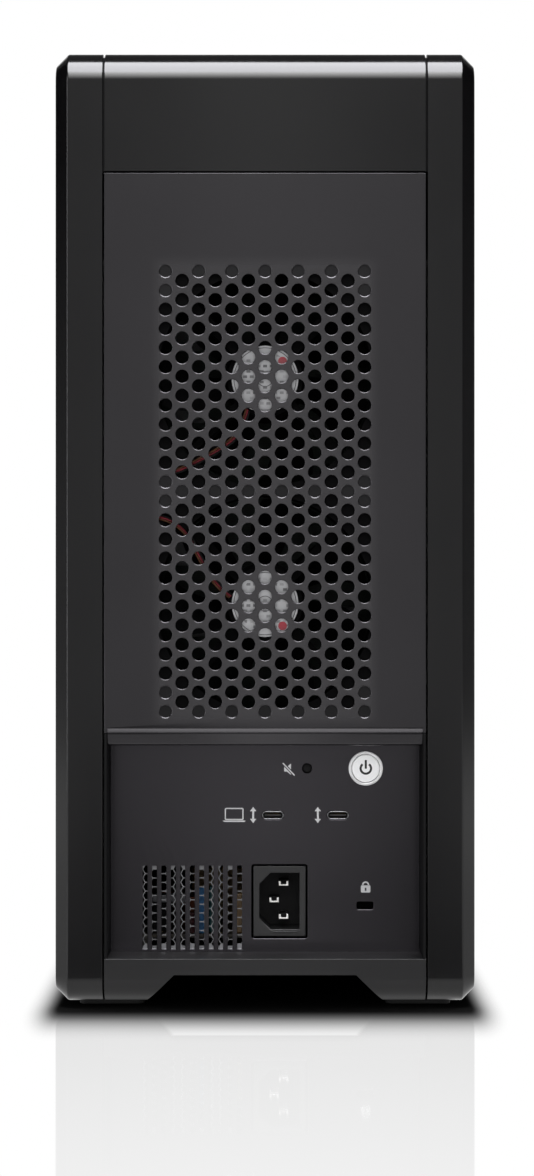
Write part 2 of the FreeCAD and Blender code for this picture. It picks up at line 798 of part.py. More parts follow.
def controller_board():
    """Upright board behind the connector panel, with the two switches and the fan headers."""
    board = block(
        around(controller_offset, controller_width),
        (controller_y, controller_back_y),
        (ledge_z + controller_rise, ledge_z + controller_rise + controller_height),
    )
    parts = []
    for x, height in ((button_offset, power_switch_height), (mute_offset, mute_switch_height)):
        y_range = (controller_y - height, controller_y)
        parts.append(block(around(x, switch_size), y_range, around(button_z, switch_size)))
    for route in (upper_route, lower_route):
        z_range = (route[-1][2] - header_size, route[-1][2])
        y_range = (controller_back_y, controller_back_y + header_height)
        parts.append(block(around(route[-1][0], header_size), y_range, z_range))
    return board.fuse(parts).removeSplitter()


def board_standoffs():
    """Four six-sided posts between the connector panel and the controller board."""
    posts = []
    z_low = ledge_z + controller_rise + standoff_inset
    z_high = z_low + controller_height - 2 * standoff_inset
    reach = controller_width / 2 - standoff_inset
    for x in (controller_offset - reach, controller_offset + reach):
        for z in (z_low, z_high):
            posts.append(prism_y(polygon(6, standoff_size, (x, z)), (connector_back_y, controller_y)))
    return Part.makeCompound(posts)


def heat_sink():
    """Finned block on the front of the controller board."""
    z = ledge_z + controller_rise + controller_height / 2
    base_y = (controller_back_y, controller_back_y + sink_base)
    sink = block(around(sink_offset, sink_size), base_y, around(z, sink_size))
    fin_y = (controller_back_y, controller_back_y + sink_height)
    fins = []
    for i in range(sink_fins):
        x = sink_offset - sink_size / 2 + sink_fin / 2 + i * (sink_size - sink_fin) / (sink_fins - 1)
        fins.append(block(around(x, sink_fin), fin_y, around(z, sink_size)))
    return sink.fuse(fins).removeSplitter()


def data_ports():
    """Two port shells with their tongues, from the panel's face to the controller board."""
    y_range = (connector_y, controller_y)
    pieces = []
    for x in (port_centre - port_spacing / 2, port_centre + port_spacing / 2):
        outside = slot_block((x, port_z), port_width, port_height, y_range)
        inside_y = (y_range[0] - 1, y_range[1] + 1)
        inside = slot_block((x, port_z), port_width - 2 * port_wall, port_height - 2 * port_wall, inside_y)
        pieces.append(outside.cut(inside))
        tongue_y = (connector_y + tongue_setback, controller_y)
        pieces.append(block(around(x, tongue_width), tongue_y, around(port_z, tongue_thickness)))
    return Part.makeCompound(pieces)


def power_button_ring():
    """Flanged ring in the connector panel, round the power button."""
    centre = (button_offset, button_z)
    face_y = connector_y - ring_proud
    flange = rod_y(ring_radius, centre, (face_y, connector_y))
    barrel = rod_y(ring_barrel, centre, (face_y, connector_back_y + sheet))
    return flange.fuse(barrel).cut(rod_y(ring_bore, centre, (face_y - 1, connector_back_y + 2 * sheet)))


def power_button():
    """Round cap with a stem that reaches towards its switch."""
    centre = (button_offset, button_z)
    face_y = connector_y - ring_proud
    end_y = face_y + button_length
    cap = rod_y(ring_bore - button_clearance, centre, (face_y, end_y))
    return cap.fuse(rod_y(button_stem, centre, (end_y - 1, end_y + button_stem_length)))


def mute_button():
    """Small round plunger, held behind the panel by a collar."""
    centre = (mute_offset, button_z)
    face_y = connector_y + mute_setback
    plunger = rod_y(mute_radius, centre, (face_y, face_y + mute_length))
    collar_y = connector_back_y + slide_clearance
    return plunger.fuse(rod_y(mute_collar, centre, (collar_y, collar_y + 1.0)))


def supply_case():
    """Folded steel case with a vent of six-sided holes and the inlet cut-out in its rear."""
    x_range = around(supply_offset, supply_width)
    y_range = (connector_back_y, connector_back_y + supply_length)
    z_range = (floor_z, floor_z + supply_height)
    case = block(x_range, y_range, z_range)
    inside = block(
        (x_range[0] + supply_wall, x_range[1] - supply_wall),
        (y_range[0] + supply_wall, y_range[1] - supply_wall),
        (z_range[0] + supply_wall, z_range[1] - supply_wall),
    )
    cut_y = (y_range[0] - 1, y_range[0] + supply_wall + 1)
    body_x = around(inlet_offset, inlet_body_width + 2 * inlet_body_clearance)
    cuts = [inside, block(body_x, cut_y, around(inlet_z, inlet_body_height + 2 * inlet_body_clearance))]
    column_pitch = supply_vent_pitch * math.sqrt(3) / 2
    for column in range(supply_vent_columns):
        x = vent_offset + (column - (supply_vent_columns - 1) / 2) * column_pitch
        count = supply_vent_rows - column % 2
        for row in range(count):
            z = vent_z + (row - (count - 1) / 2) * supply_vent_pitch
            cuts.append(prism_y(polygon(6, supply_vent_hole / math.sqrt(3), (x, z)), cut_y))
    return case.cut(cuts)


def supply_board():
    """Board inside the supply on four pegs, with a coil, two capacitors and a transformer."""
    x_range = around(supply_offset, supply_width - 2 * supply_board_margin)
    y_low = connector_back_y + supply_board_margin
    y_high = connector_back_y + supply_length - supply_board_margin
    bottom_z = floor_z + supply_wall
    board_z = bottom_z + supply_board_rise
    top_z = board_z + board_thickness
    board = block(x_range, (y_low, y_high), (board_z, top_z))
    pieces = []
    for x in (x_range[0] + 2, x_range[1] - 2):
        for y in (y_low + 2, y_high - 2):
            pieces.append(block(around(x, 4), around(y, 4), (bottom_z, board_z)))
    coil_y = y_low + 2 * coil_radius
    for x, y in ((vent_offset, coil_y), (vent_offset - 1.6 * coil_radius, coil_y + 3 * coil_radius)):
        pieces.append(rod(coil_radius, (x, y, top_z - 1), (x, y, top_z + coil_height)))
    transformer_y = (coil_y + 5 * coil_radius, coil_y + 8 * coil_radius)
    transformer_z = (top_z, top_z + 1.5 * coil_height)
    pieces.append(block(around(supply_offset, 4 * coil_radius), transformer_y, transformer_z))
    return board.fuse(pieces).removeSplitter()


def mains_inlet():
    """Mains inlet in the supply's rear: flange, body and a socket with two cut corners."""
    flange_y = (connector_back_y - inlet_flange, connector_back_y)
    flange = block(around(inlet_offset, inlet_width), flange_y, around(inlet_z, inlet_height))
    body_y = (connector_back_y, connector_back_y + inlet_body_depth)
    body = block(around(inlet_offset, inlet_body_width), body_y, around(inlet_z, inlet_body_height))
    x_low, x_high = around(inlet_offset, socket_opening_width)
    z_low, z_high = around(inlet_z, socket_opening_height)
    cut = socket_opening_chamfer
    outline = [(x_low, z_low + cut), (x_low + cut, z_low), (x_high, z_low)]
    outline += [(x_high, z_high), (x_low + cut, z_high), (x_low, z_high - cut)]
    cavity = prism_y(outline, (flange_y[0] - 1, flange_y[0] + socket_opening_depth))
    return flange.fuse(body).cut(cavity).removeSplitter()


def mains_pins():
    """Three flat pins on the floor of the inlet's socket, the middle one on the side of the cut corners."""
    floor_y = connector_back_y - inlet_flange + socket_opening_depth
    centre_x = inlet_offset + pin_shift
    pins = []
    for step in (-1, 0, 1):
        shift = pin_stagger / 2 if step else -pin_stagger / 2
        x_range = around(centre_x + shift, pin_width)
        z_range = around(inlet_z + step * pin_spacing / 2, pin_thickness)
        pins.append(block(x_range, (floor_y - pin_length, floor_y), z_range))
    return Part.makeCompound(pins)


os.makedirs("parts", exist_ok=True)

upper_route = lead_route(upper_fan_z, True, 0)
lower_route = lead_route(lower_fan_z, False, 1)
chassis_y = (connector_back_y, frame_back_y)
floor_plate = block((-wall_inside, wall_inside), chassis_y, (ledge_z, floor_z))
top_plate_y = (rear_y + sheet, frame_back_y)
top_plate = block((-spine_half, spine_half), top_plate_y, (top_plate_z - chassis_sheet, top_plate_z))

export(side_panel(-1), "left_side_panel")
export(side_panel(1), "right_side_panel")
export(top_cover(), "top_cover")
export(rear_panel(), "rear_panel")
export(connector_panel(), "connector_panel")
export(base_pan(), "base_pan")
export(rubber_feet(), "rubber_feet")
export(front_frame(), "front_frame")
export(floor_plate, "chassis_floor")
export(top_plate, "chassis_top_plate")
export(chassis_wall(-1), "chassis_left_wall")
export(chassis_wall(1), "chassis_right_wall")
export(guide_rails(-1), "left_guide_rails")
export(guide_rails(1), "right_guide_rails")
export(backplane_brackets(), "backplane_brackets")
export(backplane_board(), "backplane_board")
export(backplane_sockets(), "backplane_sockets")
export(controller_board(), "controller_board")
export(board_standoffs(), "board_standoffs")
export(heat_sink(), "controller_heat_sink")
export(data_ports(), "data_ports")
export(power_button_ring(), "power_button_ring")
export(power_button(), "power_button")
export(mute_button(), "mute_button")
export(supply_case(), "power_supply_case")
export(supply_board(), "power_supply_board")
export(mains_inlet(), "mains_inlet")
export(mains_pins(), "mains_pins")
export(fan_frame(upper_fan_z, upper_route), "upper_fan_frame")
export(fan_frame(lower_fan_z, lower_route), "lower_fan_frame")
export(fan_rotor(upper_fan_z), "upper_fan_rotor")
export(fan_rotor(lower_fan_z), "lower_fan_rotor")
export(fan_lead(upper_route), "upper_fan_lead")
export(fan_lead(lower_route), "lower_fan_lead")
export(fan_labels(), "fan_labels")

tray = drive_tray()
latch = tray_latch()
drive = hard_drive()
for bay in range(bay_count):
    rise = Vector(0, 0, bay * bay_pitch)
    export(tray.translated(rise), "drive_tray_%d" % (bay + 1))
    export(latch.translated(rise), "tray_latch_%d" % (bay + 1))
    export(drive.translated(rise), "hard_drive_%d" % (bay + 1))
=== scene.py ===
import math

import bmesh
import bpy
from mathutils import Matrix, Vector


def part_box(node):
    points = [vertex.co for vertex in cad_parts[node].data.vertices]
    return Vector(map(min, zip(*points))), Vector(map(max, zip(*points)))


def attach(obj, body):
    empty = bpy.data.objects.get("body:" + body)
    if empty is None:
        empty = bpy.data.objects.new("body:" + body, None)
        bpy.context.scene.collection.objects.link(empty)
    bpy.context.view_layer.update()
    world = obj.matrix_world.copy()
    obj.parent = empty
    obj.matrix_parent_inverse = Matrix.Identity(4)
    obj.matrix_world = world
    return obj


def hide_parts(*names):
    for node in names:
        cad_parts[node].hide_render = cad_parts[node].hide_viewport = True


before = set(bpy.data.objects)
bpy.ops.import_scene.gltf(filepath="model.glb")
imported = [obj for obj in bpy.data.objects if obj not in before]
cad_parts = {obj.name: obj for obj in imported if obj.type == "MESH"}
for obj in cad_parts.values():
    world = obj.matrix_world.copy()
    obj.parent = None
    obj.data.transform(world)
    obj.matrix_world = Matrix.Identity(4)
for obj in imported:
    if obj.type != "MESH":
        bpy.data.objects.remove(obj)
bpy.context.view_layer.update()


# Base pan. A pressed steel tray that carries the chassis: two runners with a tunnel between them, and
# the ledge under the connector recess. It is powder coated in satin black, with a fine even grain.
# The shapes of this file are drawn in millimetres, and each piece is brought to metres when it is placed.

def add_node(tree, kind, values=None, **settings):
    """New node with its settings, and its input sockets linked or set."""
    node = tree.nodes.new(kind)
    for key, value in settings.items():
        setattr(node, key, value)
    for key, value in (values or {}).items():
        if isinstance(value, bpy.types.NodeSocket):
            tree.links.new(value, node.inputs[key])
        else:
            node.inputs[key].default_value = value
    return node


def figure(tree, operation, *values):
    """Result of a math node."""
    return add_node(tree, "ShaderNodeMath", dict(enumerate(values)), operation=operation).outputs[0]


def vector_figure(tree, operation, *values):
    """Result of a vector math node: a number where it measures, a vector otherwise."""
    node = add_node(tree, "ShaderNodeVectorMath", dict(enumerate(values)), operation=operation)
    return node.outputs["Value" if operation in ("LENGTH", "DISTANCE") else "Vector"]


def object_place(tree):
    """Place on the object, in metres."""
    return add_node(tree, "ShaderNodeTexCoord").outputs["Object"]


def node_group(name, inputs, outputs):
    """Empty shader group with named sockets, its input node and its output node."""
    tree = bpy.data.node_groups.new(name, "ShaderNodeTree")
    for label, kind, value in inputs:
        tree.interface.new_socket(name=label, in_out="INPUT", socket_type=kind).default_value = value
    for label, kind in outputs:
        tree.interface.new_socket(name=label, in_out="OUTPUT", socket_type=kind)
    return tree, tree.nodes.new("NodeGroupInput"), tree.nodes.new("NodeGroupOutput")


grain_skin, given, result = node_group(
    "grain_skin",
    [
        ("Color", "NodeSocketColor", (0.02, 0.02, 0.02, 1.0)),
        ("Tone", "NodeSocketFloat", 0.15),
        ("Roughness", "NodeSocketFloat", 0.4),
        ("Spread", "NodeSocketFloat", 0.1),
        ("Grain", "NodeSocketFloat", 1500.0),
        ("Stretch", "NodeSocketVector", (1.0, 1.0, 1.0)),
    ],
    [("Color", "NodeSocketColor"), ("Roughness", "NodeSocketFloat"), ("Height", "NodeSocketFloat")],
)
place = object_place(grain_skin)
drawn = vector_figure(grain_skin, "MULTIPLY", place, given.outputs["Stretch"])
cloud = add_node(grain_skin, "ShaderNodeTexNoise",
                 {"Vector": place, "Scale": 23.0, "Detail": 4.0}).outputs[0]
speck = add_node(grain_skin, "ShaderNodeTexNoise",
                 {"Vector": drawn, "Scale": given.outputs["Grain"], "Detail": 2.0}).outputs[0]
lift = figure(grain_skin, "SUBTRACT", figure(grain_skin, "ADD", cloud, speck), 1.0)
shade = figure(grain_skin, "MULTIPLY_ADD", lift, given.outputs["Tone"], 1.0)
tinted = add_node(grain_skin, "ShaderNodeHueSaturation", {"Color": given.outputs["Color"], "Value": shade})
gloss = figure(grain_skin, "MULTIPLY_ADD", lift, given.outputs["Spread"], given.outputs["Roughness"])
for label, value in (("Color", tinted.outputs[0]), ("Roughness", gloss), ("Height", speck)):
    grain_skin.links.new(value, result.inputs[label])


def finish(name, color, roughness, grain=1500.0, bump=0.1, tone=0.15, spread=0.06, metallic=0.0,
           specular=0.5, tint=(1.0, 1.0, 1.0), stretch=(1.0, 1.0, 1.0)):
    """Material with a grained skin: its colour and gloss waver a little over a fine relief."""
    material = bpy.data.materials.new(name)
    material.use_nodes = True
    tree = material.node_tree
    shader = tree.nodes["Principled BSDF"]
    shader.inputs["Metallic"].default_value = metallic
    shader.inputs["Specular IOR Level"].default_value = specular
    shader.inputs["Specular Tint"].default_value = (*tint, 1.0)
    values = {"Color": (*color, 1.0), "Tone": tone, "Roughness": roughness, "Spread": spread,
              "Grain": grain, "Stretch": stretch}
    skin = add_node(tree, "ShaderNodeGroup", values, node_tree=grain_skin)
    relief = add_node(tree, "ShaderNodeBump",
                      {"Strength": bump, "Distance": 0.0001, "Height": skin.outputs["Height"]})
    tree.links.new(skin.outputs["Color"], shader.inputs["Base Color"])
    tree.links.new(skin.outputs["Roughness"], shader.inputs["Roughness"])
    tree.links.new(relief.outputs[0], shader.inputs["Normal"])
    return material


def slab(low, high, bm=None):
    """Box between two corners."""
    bm = bm or bmesh.new()
    size = Vector(high) - Vector(low)
    middle = (Vector(high) + Vector(low)) / 2
    bmesh.ops.create_cube(bm, size=1.0, matrix=Matrix.Translation(middle) @ Matrix.Diagonal((*size, 1.0)))
    return bm


def new_verts(made):
    """Vertices among what an operator has made."""
    return [v for v in made["geom"] if isinstance(v, bmesh.types.BMVert)]


def prism(points, start_y, end_y, bm=None):
    """Polygon of (x, z) points, extruded along Y."""
    bm = bm or bmesh.new()
    face = bm.faces.new([bm.verts.new((x, start_y, z)) for x, z in points])
    moved = new_verts(bmesh.ops.extrude_face_region(bm, geom=[face]))
    bmesh.ops.translate(bm, vec=(0, end_y - start_y, 0), verts=moved)
    bmesh.ops.recalc_face_normals(bm, faces=bm.faces)
    return bm


def soften(bm, edges, width, segments=2):
    """Round or chamfer some edges."""
    bmesh.ops.bevel(bm, geom=edges, offset=width, offset_type="OFFSET", affect="EDGES", segments=segments,
                    profile=0.5, material=-1, clamp_overlap=True)


def corners(bm, angle=30.0):
    """Edges where two faces meet at more than an angle."""
    return [e for e in bm.edges if e.is_manifold and e.calc_face_angle() > math.radians(angle)]


def edges_at(bm, along, **planes):
    """Straight edges along one axis that lie in all the planes given, such as z=2."""
    found = []
    for edge in bm.edges:
        a, b = edge.verts[0].co, edge.verts[1].co
        run = b - a
        if abs(run["xyz".index(along)]) > 0.99 * run.length:
            if all(abs(getattr(p, axis) - at) < 0.001 for p in (a, b) for axis, at in planes.items()):
                found.append(edge)
    return found


def carve(bm, cutter):
    """Take one closed shape out of another, and return what is left."""
    pair = []
    for source in (bm, cutter):
        mesh = bpy.data.meshes.new("carving")
        source.to_mesh(mesh)
        source.free()
        pair.append(bpy.data.objects.new("carving", mesh))
        bpy.context.scene.collection.objects.link(pair[-1])
    cut = pair[0].modifiers.new("cut", "BOOLEAN")
    cut.operation = "DIFFERENCE"
    cut.solver = "EXACT"
    cut.object = pair[1]
    seen = pair[0].evaluated_get(bpy.context.evaluated_depsgraph_get())
    left = bmesh.new()
    left.from_mesh(seen.to_mesh())
    seen.to_mesh_clear()
    for thing in pair:
        mesh = thing.data
        bpy.data.objects.remove(thing)
        bpy.data.meshes.remove(mesh)
    bmesh.ops.remove_doubles(left, verts=left.verts, dist=0.0005)
    return left


def piece(name, bm, finishes, body="chassis", stands_for=()):
    """Finished piece in metres, smooth but for its corners, riding on a body in place of CAD nodes."""
    bmesh.ops.scale(bm, vec=(0.001, 0.001, 0.001), verts=bm.verts)
    mesh = bpy.data.meshes.new(name)
    bm.to_mesh(mesh)
    bm.free()
    mesh.shade_smooth()
    mesh.set_sharp_from_angle(angle=math.radians(32.0))
    for material in finishes if isinstance(finishes, (list, tuple)) else [finishes]:
        mesh.materials.append(material)
    thing = bpy.data.objects.new(name, mesh)
    bpy.context.scene.collection.objects.link(thing)
    level = thing.modifiers.new("flat_faces", "WEIGHTED_NORMAL")
    level.keep_sharp = True
    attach(thing, body)
    if stands_for:
        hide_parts(*([stands_for] if isinstance(stands_for, str) else stands_for))
    return thing


pan_paint = finish("pan_paint", (0.0062, 0.0059, 0.0065), 0.42, grain=2600.0, bump=0.02, tone=0.10,
                   specular=0.35)
HALF_WIDTH = 66.15
UNDERSIDE = 2.0
LEDGE = 20.1
LOW_ROUNDING = 10.5
PAN_END = 158.995
pan = slab((-HALF_WIDTH, -PAN_END, UNDERSIDE), (HALF_WIDTH, PAN_END, LEDGE))
soften(pan, edges_at(pan, "x", z=UNDERSIDE), LOW_ROUNDING, 16)
pan = carve(pan, prism([(-50, 1), (50, 1), (37.5, 13.5), (-37.5, 13.5)], -160, 160))
right_half = [(38.54, 16), (50.04, 4.5), (63.65, 4.5), (63.65, 21)]
hollow = [(-x, z) for x, z in reversed(right_half)] + right_half
pan = carve(pan, prism(hollow, -133.5, 148))
soften(pan, edges_at(pan, "x", y=-PAN_END, z=LEDGE), 0.08, 2)
soften(pan, corners(pan), 0.35)
piece("base_pan_pressing", pan, pan_paint, stands_for="base_pan")


# Chassis. Floor, top plate and two side walls of sheet steel, screwed into a frame. Floor and top plate
# are zinc plated; the walls are painted black, because their rear edges show beside the recess.

def from_solid(node, edge=0.25, segments=1):
    """Copy of a CAD node's mesh in millimetres: merged, its flat faces whole, its corners softened."""
    bm = bmesh.new()
    bm.from_mesh(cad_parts[node].data)
    bmesh.ops.scale(bm, vec=(1000, 1000, 1000), verts=bm.verts)
    bmesh.ops.remove_doubles(bm, verts=bm.verts, dist=0.002)
    bmesh.ops.dissolve_limit(bm, angle_limit=math.radians(1.0), verts=bm.verts, edges=bm.edges)
    soften(bm, corners(bm), edge, segments)
    return bm


def dressed(name, node, finishes, edge, segments=1, body="chassis"):
    """Piece that has the form of its CAD node, with softened corners."""
    piece(name, from_solid(node, edge, segments), finishes, body, node)


# The chassis walls are painted black. The same near-black paint also serves as painted shade inside the
# supply case, on the heat sink's upright fin and in the top cover's seams.
black_paint_and_shade = finish("black_paint_and_shade", (0.0035, 0.0034, 0.0037), 0.62, grain=2400.0, bump=0.08, tone=0.12,
                    specular=0.08)
# The zinc is coloured darker than bright zinc plate: painted shade, as these parts lie deep inside the case.
zinc_steel = finish("zinc_steel", (0.28, 0.28, 0.29), 0.46, grain=160.0, bump=0.04, tone=0.25, spread=0.25,
                    metallic=1.0)
for node in ("chassis_floor", "chassis_top_plate"):
    dressed(node + "_sheet", node, zinc_steel, 0.2)
for node in ("chassis_left_wall", "chassis_right_wall"):
    dressed(node + "_sheet", node, black_paint_and_shade, 0.2)


# Guide rails. Two moulded combs of glass-filled nylon, screwed to the chassis walls: each bay has a shelf
# that its tray slides on, and a rib that keeps the tray straight.

black_plastic = finish("black_plastic", (0.018, 0.018, 0.019), 0.52, grain=3200.0, bump=0.22, tone=0.12,
                       specular=0.4)
for node in ("left_guide_rails", "right_guide_rails"):
    dressed(node + "_moulding", node, black_plastic, 0.2)


# Backplane. An upright circuit board on two steel cross bars, with one moulded socket for each drive.
# Its green lacquer lies over copper tracks, which show as lighter lines.

def blend(tree, share, first, second):
    """Colour between two others, by the share of the second."""
    return add_node(tree, "ShaderNodeMix", {0: share, 6: first, 7: second}, data_type="RGBA").outputs[2]


def colour_group(name, *labels):
    """Node group that makes one colour out of named colours."""
    inputs = [(label, "NodeSocketColor", (0, 0, 0, 1)) for label in labels]
    return node_group(name, inputs, [("Color", "NodeSocketColor")])


def recolour(material, group, **colours):
    """Send a material's own colour through a group, as its first input, on the way to the shader."""
    tree = material.node_tree
    base = tree.nodes["Principled BSDF"].inputs["Base Color"]
    layer = add_node(tree, "ShaderNodeGroup", {0: base.links[0].from_socket}, node_tree=group)
    for label, colour in colours.items():
        layer.inputs[label].default_value = (*colour, 1.0)
    tree.links.new(layer.outputs[0], base)
    return material


track_lines, given, result = colour_group("track_lines", "Lacquer", "Copper")
turned = add_node(track_lines, "ShaderNodeMapping",
                  {"Vector": object_place(track_lines), "Rotation": (math.pi / 2, 0, 0)})
lanes = add_node(
    track_lines,
    "ShaderNodeTexBrick",
    {"Vector": turned.outputs[0], "Scale": 420.0, "Mortar Size": 0.09, "Brick Width": 2.7,
     "Row Height": 0.42, "Color1": (0, 0, 0, 1), "Color2": (0, 0, 0, 1), "Mortar": (1, 1, 1, 1)},
)
tracked = blend(track_lines, lanes.outputs["Color"], given.outputs["Lacquer"], given.outputs["Copper"])
track_lines.links.new(tracked, result.inputs["Color"])


def board_finish(name, lacquer, copper):
    """Circuit board: lacquer with lighter tracks under it."""
    material = finish(name, lacquer, 0.32, grain=900.0, bump=0.05, tone=0.2)
    return recolour(material, track_lines, Copper=copper)


board_green = board_finish("board_green", (0.0020, 0.0105, 0.0050), (0.0060, 0.0260, 0.0120))
dressed("backplane_bars", "backplane_brackets", zinc_steel, 0.2)
dressed("backplane_laminate", "backplane_board", board_green, 0.15)
dressed("backplane_drive_sockets", "backplane_sockets", black_plastic, 0.3)


# Controller board. It stands behind the connector panel on brass posts, and carries the two push switches,
# the fan headers and a finned heat sink of extruded aluminium.

brass = finish("brass", (0.72, 0.50, 0.20), 0.28, grain=700.0, bump=0.05, metallic=1.0)
drawn_aluminium = finish("drawn_aluminium", (0.66, 0.67, 0.68), 0.34, grain=350.0, bump=0.08, tone=0.2,
                         spread=0.2, metallic=1.0, stretch=(6.0, 6.0, 0.15))
dressed("controller_laminate", "controller_board", board_green, 0.15)
dressed("brass_posts", "board_standoffs", brass, 0.25)
dressed("finned_heat_sink", "controller_heat_sink", drawn_aluminium, 0.15)


# Power supply. A folded case of zinc-plated steel on the chassis floor. Its rear is punched with a fine
# honeycomb behind the panel's slots, and with the cut-out that holds the mains inlet.

def outline(bm, points, y):
    """Closed loop of edges through (x, z) points."""
    ring = [bm.verts.new((x, y, z)) for x, z in points]
    for a, b in zip(ring, ring[1:] + ring[:1]):
        bm.edges.new((a, b))


def square_outline(bm, x_range, z_range, y):
    """Loop of edges round a rectangle."""
    (left, right), (low, high) = x_range, z_range
    outline(bm, [(left, low), (right, low), (right, high), (left, high)], y)


def round_outline(bm, x, z, radius, y, sides=20, turn=0.0):
    """Loop of edges round a centre."""
    upright = Matrix.Rotation(math.radians(turn), 4, "Y") @ Matrix.Rotation(math.pi / 2, 4, "X")
    bmesh.ops.create_circle(bm, cap_ends=False, radius=radius, segments=sides,
                            matrix=Matrix.Translation((x, y, z)) @ upright)


def fill_between(bm, facing=(0, -1, 0)):
    """Fill the flat area between an outline and the holes drawn in it."""
    bmesh.ops.triangle_fill(bm, use_beauty=True, edges=bm.edges[:], normal=facing)
    bm.normal_update()
    bmesh.ops.reverse_faces(bm, faces=[f for f in bm.faces if f.normal.dot(Vector(facing)) < 0])


CELL = 3.68
CELL_RADIUS = 1.97
SUPPLY_REAR = -133.5
SUPPLY_LENGTH = 150
case_x, case_z = (-57, 24.5), (21.3, 61.8)
case = bmesh.new()
square_outline(case, case_x, case_z, SUPPLY_REAR)
square_outline(case, (-4.05, 16.15), (27.5, 54.9), SUPPLY_REAR)
for column in range(-2, 12):
    for row in range(9):
        x = -28.53 + (column - 5.5) * CELL * math.sqrt(3) / 2
        z = 37.95 + (row - 4 + 0.5 * (column % 2)) * CELL
        round_outline(case, x, z, CELL_RADIUS, SUPPLY_REAR, sides=6, turn=90)
rim = [e for e in case.edges if all(min(abs(v.co.x - x) for x in case_x) < 0.01 for v in e.verts)]
fill_between(case)
moved = new_verts(bmesh.ops.extrude_edge_only(case, edges=rim))
bmesh.ops.translate(case, vec=(0, SUPPLY_LENGTH, 0), verts=moved)
far = [e for e in case.edges if e.verts[0] in moved and e.verts[1] in moved]
bmesh.ops.edgeloop_fill(case, edges=far)
bmesh.ops.recalc_face_normals(case, faces=case.faces)
if max(case.faces, key=lambda f: f.calc_center_median().y).normal.y < 0:
    bmesh.ops.reverse_faces(case, faces=case.faces)
bmesh.ops.solidify(case, geom=case.faces[:], thickness=1.0)
case_middle = Vector((sum(case_x) / 2, SUPPLY_REAR + SUPPLY_LENGTH / 2, sum(case_z) / 2))
# The inner faces of the case take the near-black paint: painted shade inside the case.
for face in case.faces:
    if (face.calc_center_median() - case_middle).dot(face.normal) < -15:
        face.material_index = 1
piece("supply_case_folding", case, [zinc_steel, black_paint_and_shade], stands_for="power_supply_case")


# Parts inside the supply. They show through the honeycomb: film capacitors in blue and teal, a coil wound
# with copper, a transformer wrapped in yellow tape and the edge of a heat sink, soldered to one board.

def can(bm, centre, radius, low, high, sides=40, edge=0.8):
    """Upright round body with softened ends."""
    upright = Matrix.Translation((*centre, (low + high) / 2))
    made = bmesh.ops.create_cone(bm, cap_ends=True, segments=sides, radius1=radius, radius2=radius,
                                 depth=high - low, matrix=upright)
    edges = {e for v in made["verts"] for e in v.link_edges}
    soften(bm, [e for e in edges if abs(e.verts[0].co.z - e.verts[1].co.z) < 0.001], edge, 3)


def second_finish(bm, test):
    """Give a piece's second finish to the faces whose middle passes a test, and its first to the others."""
    for face in bm.faces:
        face.material_index = 1 if test(face.calc_center_median()) else 0


# The supply's board is coloured far darker than tan laminate: painted shade inside the case.
board_tan = board_finish("board_tan", (0.014, 0.009, 0.004), (0.030, 0.020, 0.008))
film_blue = finish("film_blue", (0.006, 0.082, 0.21), 0.45, grain=500.0, tone=0.15, specular=0.2)
film_teal = finish("film_teal", (0.008, 0.055, 0.058), 0.45, grain=500.0, tone=0.15)
tape_yellow = finish("tape_yellow", (0.16, 0.088, 0.022), 0.50, grain=220.0, bump=0.3, tone=0.25,
                     stretch=(0.2, 0.2, 3.0))
copper_coil = finish("copper_coil", (0.065, 0.024, 0.014), 0.40, grain=260.0, bump=0.9, tone=0.3,
                     metallic=1.0, stretch=(0.2, 0.2, 4.0))
resistor_red = finish("resistor_red", (0.032, 0.005, 0.007), 0.50, grain=900.0, tone=0.15, specular=0.2)
dark_anodised = finish("dark_anodised", (0.09, 0.09, 0.095), 0.40, grain=700.0, tone=0.15, metallic=1.0)

BOARD_BACK, BOARD_FACE = 25.3, 26.9
laminate = slab((-53, -129.5, BOARD_BACK), (20.5, 12.5, BOARD_FACE))
for x in (-51, 18.5):
    for y in (-127.5, 10.5):
        slab((x - 2, y - 2, 22.3), (x + 2, y + 2, BOARD_BACK), laminate)
piece("supply_laminate", laminate, board_tan, stands_for="power_supply_board")
coils = bmesh.new()
for centre in ((-30.55, -113.5), (-43.35, -89.5)):
    can(coils, centre, 8.0, BOARD_FACE, 41.9)
piece("supply_coils", coils, copper_coil)
wrapped = slab((-32.25, -73.5, BOARD_FACE), (-0.25, -49.5, 49.4))
slab((-13.4, -128.2, BOARD_FACE), (-7.6, -112, 44.0), wrapped)
soften(wrapped, corners(wrapped), 1.0, 3)
piece("supply_wrapped_parts", wrapped, tape_yellow)
for tint, low, high, edge, film in (
    ("blue", (-29.2, -129, BOARD_FACE), (-24.2, -122.5, 46.2), 0.7, film_blue),
    ("teal", (-23.6, -128.4, BOARD_FACE), (-19.6, -122.8, 46.8), 1.2, film_teal),
):
    capacitor = slab(low, high)
    soften(capacitor, corners(capacitor), edge, 3)
    piece("supply_%s_capacitor" % tint, capacitor, film)
fin = slab((-47.6, -121.0, BOARD_FACE), (-39.4, -119.4, 40.0))
slab((-47.6, -128.0, 40.0), (-33.0, -119.4, 43.0), fin)
soften(fin, corners(fin), 0.3, 2)
# The upright fin takes the near-black paint and only the top keeps its anodised grey: painted shade under the
# top.
second_finish(fin, lambda p: p.z < 39.9)
piece("supply_heat_sink_edge", fin, [dark_anodised, black_paint_and_shade])
fuse = bmesh.new()
can(fuse, (-31.0, -126.4), 1.3, BOARD_FACE, 35.5, sides=20, edge=0.4)
piece("supply_red_resistor", fuse, resistor_red)


# Mains inlet. Moulded black nylon, snapped into the supply's rear: a flat flange, and a socket whose cut
# corners are on the side of the earth pin. Its three flat pins are nickel-plated brass with blunt tips.

